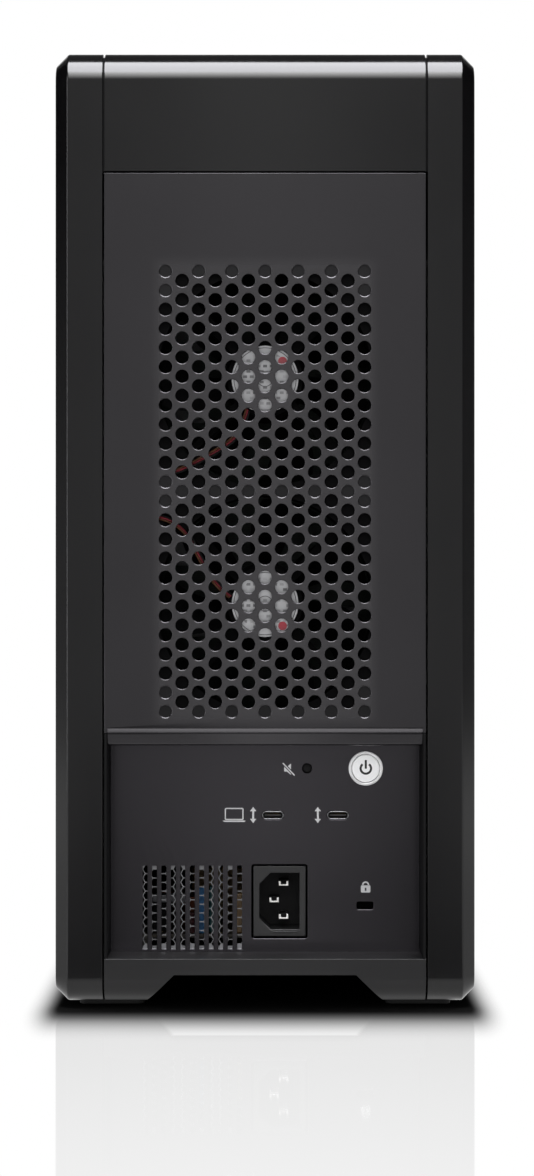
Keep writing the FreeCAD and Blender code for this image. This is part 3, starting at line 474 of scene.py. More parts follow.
inlet_nylon = finish("inlet_nylon", (0.0120, 0.0118, 0.0124), 0.42, grain=2600.0, bump=0.2, tone=0.1,
                     specular=0.45)
inlet_shade = finish("inlet_shade", (0.0050, 0.0049, 0.0052), 0.55, grain=2600.0, bump=0.2, tone=0.1,
                     specular=0.15)
# The pins are nickel, and their half share of pale diffuse colour is a painted sheen that stands in for the
# glints on their tips.
pin_nickel = finish("pin_nickel", (0.90, 0.89, 0.86), 0.30, grain=600.0, bump=0.03, tone=0.06,
                    metallic=0.45)


def join(bm, other):
    """Add one shape's mesh to another's."""
    mesh = bpy.data.meshes.new("joined")
    other.to_mesh(mesh)
    other.free()
    bm.from_mesh(mesh)
    bpy.data.meshes.remove(mesh)


def corners_where(bm, test, angle=30.0):
    """Corner edges whose two ends pass a test of their place."""
    return [e for e in corners(bm, angle) if all(test(v.co) for v in e.verts)]


FLANGE = -134.3
inlet = slab((-4.95, FLANGE, 26.45), (17.05, SUPPLY_REAR, 55.95))
back = [f for f in inlet.faces if f.normal.y > 0.9]
bmesh.ops.inset_region(inlet, faces=back, thickness=1.5, depth=0.0, use_even_offset=True)
moved = new_verts(bmesh.ops.extrude_face_region(inlet, geom=back))
bmesh.ops.translate(inlet, vec=(0, 19.5, 0), verts=moved)
bmesh.ops.delete(inlet, geom=back, context="FACES_ONLY")
bmesh.ops.recalc_face_normals(inlet, faces=inlet.faces)
mouth = [(-2.3, 34.0), (2.3, 29.4), (14.4, 29.4), (14.4, 53.0), (2.3, 53.0), (-2.3, 48.4)]
inlet = carve(inlet, prism(mouth, -135.3, -117.3))
soften(inlet, corners_where(inlet, lambda p: p.y < FLANGE + 0.001), 0.4, 3)
rib = slab((2.9, -134.7, 28.0), (13.5, -134.2, 28.6))
soften(rib, corners(rib), 0.2, 2)
join(inlet, rib)
rim = slab((-6.3, SUPPLY_REAR, 25.0), (18.4, -133.42, 57.4))
join(inlet, carve(rim, slab((-4.2, -134, 27.2), (16.3, -133, 55.2))))
second_finish(inlet, lambda p: p.y > -133.75)
piece("inlet_moulding", inlet, [inlet_nylon, inlet_shade], stands_for="mains_inlet")
pins = bmesh.new()
for x, z in ((7.8, 48.2), (3.8, 41.2), (7.8, 34.2)):
    pin = slab((x - 2, -129.8, z - 1), (x + 2, -117.3, z + 1))
    pin = carve(pin, slab((x - 1.15, -130.8, z - 0.4), (x + 1.15, -125.8, z + 1.5)))
    soften(pin, corners_where(pin, lambda p: p.y < -129.7), 0.25, 3)
    second_finish(pin, lambda p: abs(p.x - x) < 1.16 and p.y > -129.0 and p.z > z - 0.5)
    join(pins, pin)
piece("inlet_pins", pins, [pin_nickel, inlet_shade], stands_for="mains_pins")


# Fans. Two square frames moulded in black, screwed to the perforated panel from behind. Four struts hold
# the motor plate, which has a round paper label; the rotor behind it has seven curved blades.

# The fans' black is darker and duller than the plastic is: painted shade behind the perforated panel.
fan_plastic = finish("fan_plastic", (0.0014, 0.0013, 0.0015), 0.60, grain=2600.0, bump=0.15, tone=0.1,
                     specular=0.02)
FAN_HEIGHTS = {"upper": 258.65, "lower": 166.15}
label_print, given, result = colour_group("label_print", "Paper", "Ink", "Spot")
flat = vector_figure(label_print, "MULTIPLY", object_place(label_print), (1.0, 0.0, 1.0))
hubs = [vector_figure(label_print, "DISTANCE", flat, (0, 0, z * 0.001)) for z in FAN_HEIGHTS.values()]
reach = figure(label_print, "MINIMUM", *hubs)
side = add_node(label_print, "ShaderNodeSeparateXYZ", {0: flat})
upright = add_node(label_print, "ShaderNodeCombineXYZ", {0: side.outputs["X"], 1: side.outputs["Z"]})
bars = add_node(
    label_print,
    "ShaderNodeTexBrick",
    {"Vector": upright.outputs[0], "Scale": 420.0, "Mortar Size": 0.24, "Brick Width": 1.15, "Bias": 0.1,
     "Row Height": 0.92, "Color1": (1, 1, 1, 1), "Color2": (0, 0, 0, 1), "Mortar": (0, 0, 0, 1)},
)
near = figure(label_print, "LESS_THAN", reach, 0.0112)
inked = figure(label_print, "MULTIPLY", near, bars.outputs["Color"])
for radius in (0.0128, 0.0031):
    line = figure(label_print, "COMPARE", reach, radius, 0.00016)
    inked = figure(label_print, "MAXIMUM", inked, line)
spots = []
for z in (0.2660, 0.1570):
    away = vector_figure(label_print, "DISTANCE", flat, (0.0072, 0.0, z))
    spots.append(figure(label_print, "LESS_THAN", away, 0.0018))
colour = blend(label_print, inked, given.outputs["Paper"], given.outputs["Ink"])
colour = blend(label_print, figure(label_print, "MAXIMUM", *spots), colour, given.outputs["Spot"])
label_print.links.new(colour, result.inputs["Color"])
label_paper = finish("label_paper", (0.35, 0.35, 0.36), 0.5, grain=1800.0, bump=0.0, tone=0.14, spread=0.1,
                     specular=0.35)
recolour(label_paper, label_print, Ink=(0.045, 0.045, 0.048), Spot=(0.30, 0.016, 0.030))


def everything(bm):
    """All parts of a mesh."""
    return bm.verts[:] + bm.edges[:] + bm.faces[:]


def sweep_round(bm, geom, centre, angle, steps, axis=(0, 1, 0), merge=False, copies=False):
    """Sweep parts of a mesh about an axis through a point, or set copies of them round it."""
    return bmesh.ops.spin(bm, geom=geom, cent=centre, axis=axis, dvec=(0, 0, 0), angle=angle, steps=steps,
                          use_merge=merge, use_duplicate=copies)


def turned_ring(bm, profile, centre, steps=48):
    """Turn a closed profile of (radius, y) points about an axis along Y through an (x, z) centre."""
    ring = [bm.verts.new((centre[0] + r, y, centre[1])) for r, y in profile]
    edges = [bm.edges.new(pair) for pair in zip(ring, ring[1:] + ring[:1])]
    sweep_round(bm, ring + edges, (centre[0], 0, centre[1]), 2 * math.pi, steps, merge=True)
    bmesh.ops.remove_doubles(bm, verts=bm.verts, dist=0.001)
    bmesh.ops.recalc_face_normals(bm, faces=bm.faces)


labels = bmesh.new()
for level, fan_z in FAN_HEIGHTS.items():
    dressed(level + "_fan_moulding", level + "_fan_frame", fan_plastic, 0.3)
    rotor = bmesh.new()
    hub = (0, fan_z)
    turned_ring(rotor, [(0, -152.6), (15.4, -152.6), (17, -151.0), (17, -134.5), (0, -134.5)], hub)
    turned_ring(rotor, [(0, -154.9), (1.4, -154.9), (1.55, -154.7), (1.55, -152.0), (0, -152.0)], hub, 20)
    blade = bmesh.new()
    bmesh.ops.create_grid(blade, x_segments=8, y_segments=6, size=0.5)
    for vert in blade.verts:
        out = 15.6 + (vert.co.x + 0.5) * 28.0
        pitch = math.radians(52 - 26 * (vert.co.x + 0.5))
        chord = 15.5 + 10.5 * (vert.co.x + 0.5)
        camber = 2.4 * (0.25 - vert.co.y ** 2)
        sweep = vert.co.y * chord * math.cos(pitch) / out + 0.25 * (vert.co.x + 0.5) ** 2
        depth = max(-8.2, min(8.2, vert.co.y * chord * math.sin(pitch) + camber))
        vert.co = (out * math.sin(sweep), -143.5 + depth, fan_z + out * math.cos(sweep))
    bmesh.ops.solidify(blade, geom=blade.faces[:], thickness=1.1)
    sweep_round(blade, everything(blade), (0, 0, fan_z), 2 * math.pi, 7, copies=True)
    bmesh.ops.remove_doubles(blade, verts=blade.verts, dist=0.001)
    bmesh.ops.recalc_face_normals(blade, faces=blade.faces)
    join(rotor, blade)
    piece(level + "_fan_impeller", rotor, fan_plastic, body=level + "_fan_rotor_body",
          stands_for=level + "_fan_rotor")
    turned_ring(labels, [(0, -156.9), (13.5, -156.9), (13.7, -156.8), (13.7, -156.6), (0, -156.6)], hub, 64)
piece("fan_hub_labels", labels, label_paper, stands_for="fan_labels")


# Fan leads. Each fan has three thin PVC wires side by side, red, black and yellow. They run from the
# motor plate along a strut, through a groove in the frame, and forwards and down to a header.

wire_red = finish("wire_red", (0.15, 0.012, 0.020), 0.50, grain=900.0, tone=0.15, specular=0.2)
wire_black = finish("wire_black", (0.004, 0.004, 0.004), 0.50, grain=900.0, tone=0.1, specular=0.2)
wire_yellow = finish("wire_yellow", (0.085, 0.032, 0.012), 0.50, grain=900.0, tone=0.12, specular=0.2)
WIRE = 0.85


def wire(name, route, shift, finishes, node=None):
    """One wire of a lead: a smooth line along the route, set to one side of it."""
    line = bpy.data.curves.new(name, "CURVE")
    line.dimensions = "3D"
    line.bevel_depth = WIRE / 2 * 0.001
    line.bevel_resolution = 3
    line.use_fill_caps = True
    spline = line.splines.new("NURBS")
    spline.points.add(len(route) - 1)
    for point, (at, aside) in zip(spline.points, route):
        point.co = (*((Vector(at) + Vector(aside) * shift) * 0.001), 1.0)
    spline.order_u = 3
    spline.use_endpoint_u = True
    spline.resolution_u = 10
    line.materials.append(finishes)
    thing = bpy.data.objects.new(name, line)
    bpy.context.scene.collection.objects.link(thing)
    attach(thing, "chassis")
    if node:
        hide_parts(node)


STRUT_Y, HEADER_Y, HEADER_Z = -155.35, -121.9, 99.6
upper_lead = [
    ((-7.1, STRUT_Y, 246.2), (0.8, 0, -0.6)),
    ((-9.6, STRUT_Y, 236.8), (0.8, 0, -0.6)),
    ((-17.5, STRUT_Y, 230.2), (0.6, 0, -0.8)),
    ((-27.2, STRUT_Y, 225.0), (0.5, 0, -0.87)),
    ((-38.0, STRUT_Y, 219.6), (0.3, 0, -0.95)),
    ((-51.5, STRUT_Y, 219.6), (-0.3, 0.6, -0.74)),
    ((-51.5, HEADER_Y, 219.6), (0.98, 0, -0.2)),
    ((-51.5, HEADER_Y, HEADER_Z), (1, 0, 0)),
]
lower_lead = [
    ((-14.0, STRUT_Y, 169.1), (0.75, 0, 0.66)),
    ((-20.0, STRUT_Y, 173.4), (0.8, 0, 0.6)),
    ((-27.4, STRUT_Y, 186.2), (0.85, 0, 0.5)),
    ((-32.4, STRUT_Y, 196.4), (0.7, 0, 0.7)),
    ((-42.0, STRUT_Y, 202.3), (0.2, 0, 0.98)),
    ((-56.0, STRUT_Y, 202.3), (-0.3, 0.6, 0.74)),
    ((-56.0, HEADER_Y, 202.3), (0.98, 0, 0.2)),
    ((-56.0, HEADER_Y, HEADER_Z), (1, 0, 0)),
]
for level, route in (("upper", upper_lead), ("lower", lower_lead)):
    wire(level + "_lead_red_wire", route, 0.0, wire_red, level + "_fan_lead")
    wire(level + "_lead_black_wire", route, WIRE, wire_black)
    wire(level + "_lead_yellow_wire", route, -WIRE, wire_yellow)


# Rear panel. Sheet steel, punched with a field of round holes over the fans, folded inwards at its lower
# edge to a sloping lip and painted black. The holes over the fans' corners are blind, only pressed in.

def ramp(tree, value, start, end, low=0.0, high=1.0, kind="LINEAR"):
    """Value brought from one range to another, and held at the ends."""
    sockets = {"Value": value, 1: start, 2: end, 3: low, 4: high}
    return add_node(tree, "ShaderNodeMapRange", sockets, interpolation_type=kind).outputs[0]


REAR = -159.0
FIELD_MIDDLE = 212.4
PANEL_BLACK = (0.0066, 0.0061, 0.0070)
PANEL_LOOK = {"roughness": 0.20, "grain": 2400.0, "bump": 0.012, "tone": 0.12, "specular": 0.60}
# Over the field of holes the black paint is made lighter: a painted sheen that stands in for the highlights
# on the holes' rims.
painted_rim_sheen, given, result = colour_group("painted_rim_sheen", "Sheet", "Punched")
spot = add_node(painted_rim_sheen, "ShaderNodeSeparateXYZ", {0: object_place(painted_rim_sheen)})
across = figure(painted_rim_sheen, "ABSOLUTE", spot.outputs["X"])
up = figure(painted_rim_sheen, "SUBTRACT", spot.outputs["Z"], FIELD_MIDDLE * 0.001)
within_x = ramp(painted_rim_sheen, across, 0.0425, 0.0470, 1.0, 0.0)
within_z = ramp(painted_rim_sheen, figure(painted_rim_sheen, "ABSOLUTE", up), 0.0920, 0.0970, 1.0, 0.0)
sheen_area = figure(painted_rim_sheen, "MULTIPLY", within_x, within_z)
colour = blend(painted_rim_sheen, sheen_area, given.outputs["Sheet"], given.outputs["Punched"])
painted_rim_sheen.links.new(colour, result.inputs["Color"])
grille_paint_and_sheen = finish("grille_paint_and_sheen", PANEL_BLACK, tint=(1.0, 0.97, 1.02), **PANEL_LOOK)
recolour(grille_paint_and_sheen, painted_rim_sheen, Punched=(0.0195, 0.0187, 0.0199))
# The floors of the blind holes get a darker, duller paint: painted shade in the pockets.
pocket_painted_shade = finish("pocket_painted_shade", (0.0048, 0.0045, 0.0050), 0.50, grain=900.0, bump=0.1, tone=0.4,
                       specular=0.12)

HOLE_PITCH = 7.87
HOLE_RADIUS = 2.75
grille = bmesh.new()
lip_half, bend = 64.75, 2.0
lip_y, lip_z = -156.0, 107.7
panel_low, panel_high, slope_top = 113.0, 343.15, 112.8
slope = math.atan2(slope_top - lip_z, lip_y - REAR)
bend_z = slope_top + bend * math.tan((math.pi / 2 - slope) / 2)
mark_z = bend_z + 1.9
right_edge = [(lip_half, mark_z), (lip_half, panel_low), (HALF_WIDTH, panel_low), (HALF_WIDTH, panel_high)]
left_edge = [(-x, z) for x, z in reversed(right_edge[:-1])]
outline(grille, left_edge + right_edge + [(-HALF_WIDTH, panel_high)], REAR)
blind = []
for column in range(13):
    rows = 24 - column % 2
    x = (column - 6) * HOLE_PITCH * math.sqrt(3) / 2
    for row in range(rows):
        z = FIELD_MIDDLE + (row - (rows - 1) / 2) * HOLE_PITCH
        rise = abs(z - FAN_HEIGHTS["upper" if z > FIELD_MIDDLE else "lower"])
        to_screw = math.hypot(abs(x) - 41.25, rise - 41.25)
        round_outline(grille, x, z, HOLE_RADIUS, REAR)
        if rise > 43.5 or to_screw < 5.5:
            blind.append((x, z))
fill_between(grille)


def draw_out(bm, edges):
    """Extrude a line of edges, and return its new vertices and edges."""
    grown = bmesh.ops.extrude_edge_only(bm, edges=edges)
    ends = new_verts(grown)
    edges = [g for g in grown["geom"] if isinstance(g, bmesh.types.BMEdge)]
    return ends, [e for e in edges if all(v in ends for v in e.verts)]


turn_y = lip_y + bend * math.tan(slope / 2)
slope_end = lip_y - bend * math.tan(slope / 2) * math.cos(slope)
fold = edges_at(grille, "x", y=REAR, z=mark_z)
for step in ((0, 0.35, -0.5), (0, -0.35, -1.4)):
    moved, fold = draw_out(grille, fold)
    bmesh.ops.translate(grille, vec=step, verts=moved)
for centre, angle, reach, fall in (
    ((0, REAR + bend, bend_z), math.pi / 2 - slope, slope_end, math.tan(slope)),
    ((0, turn_y, lip_z + bend), slope, -135, 0.0),
):
    line = fold + list({v for e in fold for v in e.verts})
    bent = sweep_round(grille, line, centre, angle, 6, axis=(1, 0, 0))
    moved, fold = draw_out(grille, [g for g in bent["geom_last"] if isinstance(g, bmesh.types.BMEdge)])
    run = reach - moved[0].co.y
    bmesh.ops.translate(grille, vec=(0, run, -run * fall), verts=moved)
skin_verts = [v for v in grille.verts if v.co.y < REAR + 0.01]
for x, z in blind:
    ring = [v for v in skin_verts if math.hypot(v.co.x - x, v.co.z - z) < HOLE_RADIUS + 0.01]
    ring.sort(key=lambda v: math.atan2(v.co.z - z, v.co.x - x))
    grille.faces.new(ring)
bmesh.ops.recalc_face_normals(grille, faces=grille.faces)
if max(grille.faces, key=lambda f: f.calc_area()).normal.y > 0:
    bmesh.ops.reverse_faces(grille, faces=grille.faces)
bmesh.ops.solidify(grille, geom=grille.faces[:], thickness=1.5)
pressed = []
for x, z in blind:
    pressed += [f for f in grille.faces if len(f.verts) == 20 and f.normal.y < -0.9
                and (f.calc_center_median() - Vector((x, REAR, z))).length < 0.1]
soften(grille, corners_where(grille, lambda p: p.y < REAR + 0.01, 60), 0.32, 3)
bmesh.ops.inset_individual(grille, faces=pressed, thickness=0.35, depth=-0.65, use_even_offset=True)
# Painted shade: the pocket floors take the darker paint.
for face in pressed:
    face.material_index = 1
dished = {e for f in pressed for e in f.edges}
rims = {e for f in pressed for v in f.verts for e in v.link_edges} - dished
rims = {e for r in rims for v in r.verts for e in v.link_edges}
soften(grille, list(rims & set(corners_where(grille, lambda p: p.y < REAR + 0.01, 20))), 0.30, 4)
piece("fan_grille_panel", grille, [grille_paint_and_sheen, pocket_painted_shade], stands_for="rear_panel")


# Connector panel. A flat painted steel sheet at the back of the recess, punched with the slots of the
# supply's vent, the cut-outs for inlet, ports and buttons, and a lock slot.

def rounded_outline(bm, x_range, z_range, radius, y, segments=5):
    """Loop of edges round a rectangle with rounded corners."""
    size = (x_range[1] - x_range[0], z_range[1] - z_range[0])
    middle = ((x_range[0] + x_range[1]) / 2, y, (z_range[0] + z_range[1]) / 2)
    upright = Matrix.Rotation(math.pi / 2, 4, "X") @ Matrix.Diagonal((*size, 1, 1))
    made = bmesh.ops.create_grid(bm, x_segments=1, y_segments=1, size=0.5,
                                 matrix=Matrix.Translation(middle) @ upright)
    faces = list({f for v in made["verts"] for f in v.link_faces})
    bmesh.ops.delete(bm, geom=faces, context="FACES_ONLY")
    bmesh.ops.bevel(bm, geom=made["verts"], offset=radius, offset_type="OFFSET", affect="VERTICES",
                    segments=segments, profile=0.5, material=-1, clamp_overlap=False)


def sheet_with_holes(bm, thickness, edge):
    """Give a flat skin that faces the rear its thickness, and break its rear edges."""
    level = bm.verts[:][0].co.y
    fill_between(bm)
    bmesh.ops.solidify(bm, geom=bm.faces[:], thickness=thickness)
    front = corners_where(bm, lambda p: abs(p.y - level) < 0.001 and abs(p.x) < lip_half - 0.25, 60)
    soften(bm, front, edge, 3)


PLATE = -135.0
VENT_PITCH = 3.97
PORTS = (3.25, 30.55)
POWER_X, POWER_Z = 42.2, 97.0
MUTE_X = 17.6
plate = bmesh.new()
square_outline(plate, (-lip_half, lip_half), (LEDGE, 109.6), PLATE)
for i in range(11):
    x = -30.55 + (i - 5) * VENT_PITCH
    square_outline(plate, (x - 0.98, x + 0.98), (21.05, 56.15), PLATE)
rounded_outline(plate, (-5.7, 17.8), (25.65, 56.75), 1.2, PLATE)
for x in PORTS:
    rounded_outline(plate, (x - 4.65, x + 4.65), (75.49, 79.11), 1.8, PLATE, 8)
round_outline(plate, POWER_X, POWER_Z, 6.55, PLATE, sides=48)
round_outline(plate, MUTE_X, POWER_Z, 2.05, PLATE, sides=24)
rounded_outline(plate, (38.4, 45.4), (37.8, 41.0), 0.8, PLATE)
sheet_with_holes(plate, 1.5, 0.3)
plate_paint = finish("plate_paint", PANEL_BLACK, tint=(1.0, 0.95, 1.04), **PANEL_LOOK)
piece("connector_plate", plate, plate_paint, stands_for="connector_panel")


# Data ports. Two drawn steel shells, soldered to the controller board behind the panel, each with a thin
# tongue of black plastic that carries gold contacts.

port_steel = finish("port_steel", (0.36, 0.36, 0.37), 0.26, grain=500.0, bump=0.04, tone=0.1, metallic=1.0)
gold = finish("gold", (0.80, 0.55, 0.18), 0.25, grain=900.0, bump=0.03, metallic=1.0)
shells = bmesh.new()
tongues = bmesh.new()
contacts = bmesh.new()
for x in PORTS:
    ends = bmesh.new()
    rounded_outline(ends, (x - 4.47, x + 4.47), (75.67, 78.93), 1.62, PLATE, 8)
    rounded_outline(ends, (x - 4.17, x + 4.17), (75.97, 78.63), 1.32, PLATE, 8)
    fill_between(ends)
    bmesh.ops.solidify(ends, geom=ends.faces[:], thickness=8.5)
    soften(ends, corners_where(ends, lambda p: p.y < PLATE + 0.01, 60), 0.1, 2)
    join(shells, ends)
    slab((x - 4.1, -127.6, 76.0), (x + 4.1, -126.5, 78.6), tongues)
    slab((x - 3.35, -134.0, 76.95), (x + 3.35, -126.5, 77.65), tongues)
    for i in range(12):
        at = x + (i - 5.5) * 0.5
        slab((at - 0.13, -133.4, 76.92), (at + 0.13, -128.0, 77.68), contacts)
soften(tongues, corners(tongues), 0.1, 1)
piece("port_shells", shells, port_steel, stands_for="data_ports")
piece("port_tongues", tongues, black_plastic)
piece("port_contacts", contacts, gold)


# Power button. A white moulded cap in a bright ring that is pressed into the connector panel. The cap
# has a black power sign printed on it, and slides a millimetre to reach its switch.

ring_chrome = finish("ring_chrome", (0.86, 0.86, 0.87), 0.22, grain=700.0, bump=0.02, tone=0.05,
                     metallic=0.45)
cap_white = finish("cap_white", (0.88, 0.88, 0.89), 0.32, grain=1500.0, bump=0.03, tone=0.05)
ink_black = finish("ink_black", (0.012, 0.012, 0.013), 0.5, grain=2500.0, bump=0.03, tone=0.1)
power_axis = (POWER_X, POWER_Z)
ring = bmesh.new()
ring_profile = [(5.95, -135.95), (6.1, -136.12), (6.3, -136.2), (6.85, -136.2), (7.1, -136.1),
                (7.25, -135.85), (7.25, PLATE), (6.5, PLATE), (6.5, -132.0), (5.95, -132.0)]
turned_ring(ring, ring_profile, power_axis, 72)
piece("power_ring", ring, ring_chrome, stands_for="power_button_ring")
cap = bmesh.new()
cap_profile = [(0, -136.1), (5.1, -136.1), (5.5, -136.05), (5.72, -135.9), (5.8, -135.6), (5.8, -130.7),
               (2.0, -130.7), (2.0, -129.5), (0, -129.5)]
turned_ring(cap, cap_profile, power_axis, 72)
piece("power_cap", cap, cap_white, body="power_button_body", stands_for="power_button")
SIGN_Y = -136.13
sign = bmesh.new()
ends = [sign.verts.new((POWER_X, SIGN_Y, POWER_Z + radius)) for radius in (1.72, 2.66)]
spoke = sign.edges.new(ends)
pivot = (POWER_X, 0, POWER_Z)
bmesh.ops.rotate(sign, cent=pivot, matrix=Matrix.Rotation(math.radians(38), 3, "Y"), verts=ends)
sweep_round(sign, ends + [spoke], pivot, math.radians(284), 44)
bar = ((-0.45, -0.1), (0.45, -0.1), (0.45, 3.55), (-0.45, 3.55))
sign.faces.new([sign.verts.new((POWER_X + x, SIGN_Y, POWER_Z + z)) for x, z in bar])
bmesh.ops.recalc_face_normals(sign, faces=sign.faces)
bmesh.ops.solidify(sign, geom=sign.faces[:], thickness=0.02)
bmesh.ops.recalc_face_normals(sign, faces=sign.faces)
piece("power_sign", sign, ink_black, body="power_button_body")


# Mute button. A small plunger moulded in black plastic. It sits just below the face of the panel, and a
# collar behind the panel keeps it in its hole.

mute_axis = (MUTE_X, POWER_Z)
plunger = bmesh.new()
plunger_profile = [(0, -134.5), (1.4, -134.5), (1.7, -134.35), (1.8, -134.1), (1.8, -129.0), (0, -129.0)]
collar_profile = [(1.7, -133.2), (2.4, -133.2), (2.5, -133.1), (2.5, -132.2), (1.7, -132.2)]
for profile in (plunger_profile, collar_profile):
    turned_ring(plunger, profile, mute_axis, 32)
piece("mute_plunger", plunger, inlet_shade, body="mute_button_body", stands_for="mute_button")


# Printed signs. Pale grey ink, screen printed on the painted panel: a crossed-out speaker, a laptop, two
# plain double arrows beside the ports, and a padlock over the lock slot.

ink_grey = finish("ink_grey", (0.54, 0.54, 0.55), 0.5, grain=2500.0, bump=0.03, tone=0.12)
PRINT_Y = -135.03


def print_face(bm, points):
    """Flat printed area through (x, z) points."""
    return bm.faces.new([bm.verts.new((x, PRINT_Y, z)) for x, z in points])


def printed(name, bm):
    """Give printed areas the thickness of ink and place them."""
    bm.normal_update()
    bmesh.ops.reverse_faces(bm, faces=[f for f in bm.faces if f.normal.y > 0])
    bmesh.ops.solidify(bm, geom=bm.faces[:], thickness=0.02)
    piece(name, bm, ink_grey)


laptop = bmesh.new()
rounded_outline(laptop, (-16.9, -9.05), (75.3, 80.4), 0.6, PRINT_Y, 3)
rounded_outline(laptop, (-16.42, -9.53), (75.78, 79.92), 0.25, PRINT_Y, 2)
fill_between(laptop)
base_outline = [(-17.75, 75.1), (-8.15, 75.1), (-8.15, 74.95), (-8.7, 74.5), (-17.2, 74.5), (-17.75, 74.95)]
print_face(laptop, base_outline)
printed("laptop_sign", laptop)
marks = bmesh.new()
for x in (-5.0, 22.1):
    half_arrow = [(0, 3.4), (1.35, 1.6), (0.42, 1.6)]
    right = half_arrow + [(a, -b) for a, b in reversed(half_arrow)]
    left = [(-a, b) for a, b in reversed(right[1:-1])]
    print_face(marks, [(x + a, 77.4 + b) for a, b in right + left])
printed("port_signs", marks)
speaker_outline = [(8.0, 95.65), (9.15, 95.65), (10.85, 94.2), (10.85, 99.0), (9.15, 97.55), (8.0, 97.55)]
mute = bmesh.new()
across = Vector((0.69, 0, -0.72))
beside = Vector((0.72, 0, 0.69))
centre = Vector((9.9, PRINT_Y, 96.6))
for side in (-1, 1):
    half_speaker = bmesh.new()
    print_face(half_speaker, speaker_outline)
    bmesh.ops.bisect_plane(half_speaker, geom=everything(half_speaker),
                           plane_co=centre + beside * side * 0.62, plane_no=beside * side, clear_inner=True)
    join(mute, half_speaker)
bar = [centre + across * s * 3.6 + beside * t * 0.24 for s, t in ((-1, -1), (1, -1), (1, 1), (-1, 1))]
print_face(mute, [(p.x, p.z) for p in bar])
printed("mute_sign", mute)
padlock = bmesh.new()
rounded_outline(padlock, (40.15, 44.15), (44.9, 47.9), 0.4, PRINT_Y, 3)
square_outline(padlock, (41.8, 42.5), (45.6, 46.9), PRINT_Y)
fill_between(padlock)
shackle_x, shackle_z = 42.15, 48.1
ends = [padlock.verts.new((shackle_x + r, PRINT_Y, shackle_z)) for r in (0.85, 1.5)]
spoke = padlock.edges.new(ends)
sweep_round(padlock, ends + [spoke], (shackle_x, 0, shackle_z), -math.pi, 16)
printed("padlock_sign", padlock)


# Side panels. Two shells of sheet aluminium with a flat face, a flat chamfer all round it and rounded
# ends, screwed to the chassis from inside. Their black paint is smoother than that of the base pan.

shell_paint = finish("shell_paint", (0.0040, 0.0038, 0.0043), 0.15, grain=2600.0, bump=0.01, tone=0.10,
                     specular=0.42)
BODY_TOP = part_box("left_side_panel")[1].z * 1000
TOP_ROUNDING = 12.5
for side, node in ((-1, "left_side_panel"), (1, "right_side_panel")):
    inner_x, outer_x = side * 66.85, side * 86.5
    shell = slab((min(inner_x, outer_x), REAR, UNDERSIDE), (max(inner_x, outer_x), -REAR, BODY_TOP))
    soften(shell, edges_at(shell, "x", z=UNDERSIDE), LOW_ROUNDING, 16)
    soften(shell, edges_at(shell, "x", z=BODY_TOP), TOP_ROUNDING, 18)
    soften(shell, [e for e in shell.edges if all(abs(v.co.x - outer_x) < 0.001 for v in e.verts)], 5.2, 1)
    soften(shell, corners_where(shell, lambda p: abs(p.x) > 80), 0.5, 3)
    inside = [f for f in shell.faces if abs(f.calc_center_median().x - inner_x) < 0.001]
    bmesh.ops.inset_region(shell, faces=inside, thickness=2.5, depth=0.0, use_even_offset=True)
    moved = new_verts(bmesh.ops.extrude_face_region(shell, geom=inside))
    bmesh.ops.translate(shell, vec=(side * 13, 0, 0), verts=moved)
    bmesh.ops.delete(shell, geom=[f for f in inside if f.is_valid], context="FACES_ONLY")
    soften(shell, corners_where(shell, lambda p: abs(p.x - inner_x) < 0.001), 0.3, 2)
    piece(node.replace("panel", "shell"), shell, shell_paint, stands_for=node)


# Top cover. The same sheet, rolled over the rear and front edges, with a lip that ends at the seam over
# the rear panel. A tongue along each side closes the seam to the side panel from inside, and a strip in
# the near-black paint lies in the seam as painted shade.

def rolled_band(x_range, inset, thickness):
    """Band of sheet that follows the top of the body, set in from its outside."""
    top = BODY_TOP - inset
    band = slab((x_range[0], REAR + inset, 343.85), (x_range[1], -REAR - inset, top))
    soften(band, edges_at(band, "x", z=top), TOP_ROUNDING - inset, 18)
    ends = [f for f in band.faces if abs(f.normal.x) > 0.9 or f.normal.z < -0.9]
    bmesh.ops.delete(band, geom=ends, context="FACES")
    bmesh.ops.solidify(band, geom=band.faces[:], thickness=thickness)
    return band


cover = rolled_band((-HALF_WIDTH, HALF_WIDTH), 0.0, 2.5)
soften(cover, corners(cover, 60), 0.3)
for side in (-1, 1):
    join(cover, rolled_band(sorted((side * 68.85, side * 64.15)), 2.7, 1.2))
    seam_strip = rolled_band(sorted((side * 66.80, side * 66.10)), 1.3, 1.5)
    # Painted shade: the seam strip takes the near-black paint.
    for face in seam_strip.faces:
        face.material_index = 1
    join(cover, seam_strip)
piece("top_cover_rolled", cover, [shell_paint, black_paint_and_shade], stands_for="top_cover")


# Rubber feet. Four flat pads moulded in black rubber, with rounded corners. They are glued under the
# runners and the side panels' lower edges.

rubber = finish("rubber", (0.012, 0.012, 0.012), 0.72, grain=1200.0, bump=0.4, tone=0.2, specular=0.3)
feet = bmesh.new()
for x in (-77, 50):
    for y in (-147, 103):
        slab((x, y, 0), (x + 27, y + 44, 2), feet)
soften(feet, edges_at(feet, "z"), 3.0, 6)
soften(feet, corners_where(feet, lambda p: p.z < 0.001), 0.4, 2)
piece("rubber_pads", feet, rubber, stands_for="rubber_feet")


# Front. A moulded fascia round the bays, eight trays that slide on the guide rails, each with a slotted
# latch lever on a pin, and a 3.5-inch drive screwed into each tray.

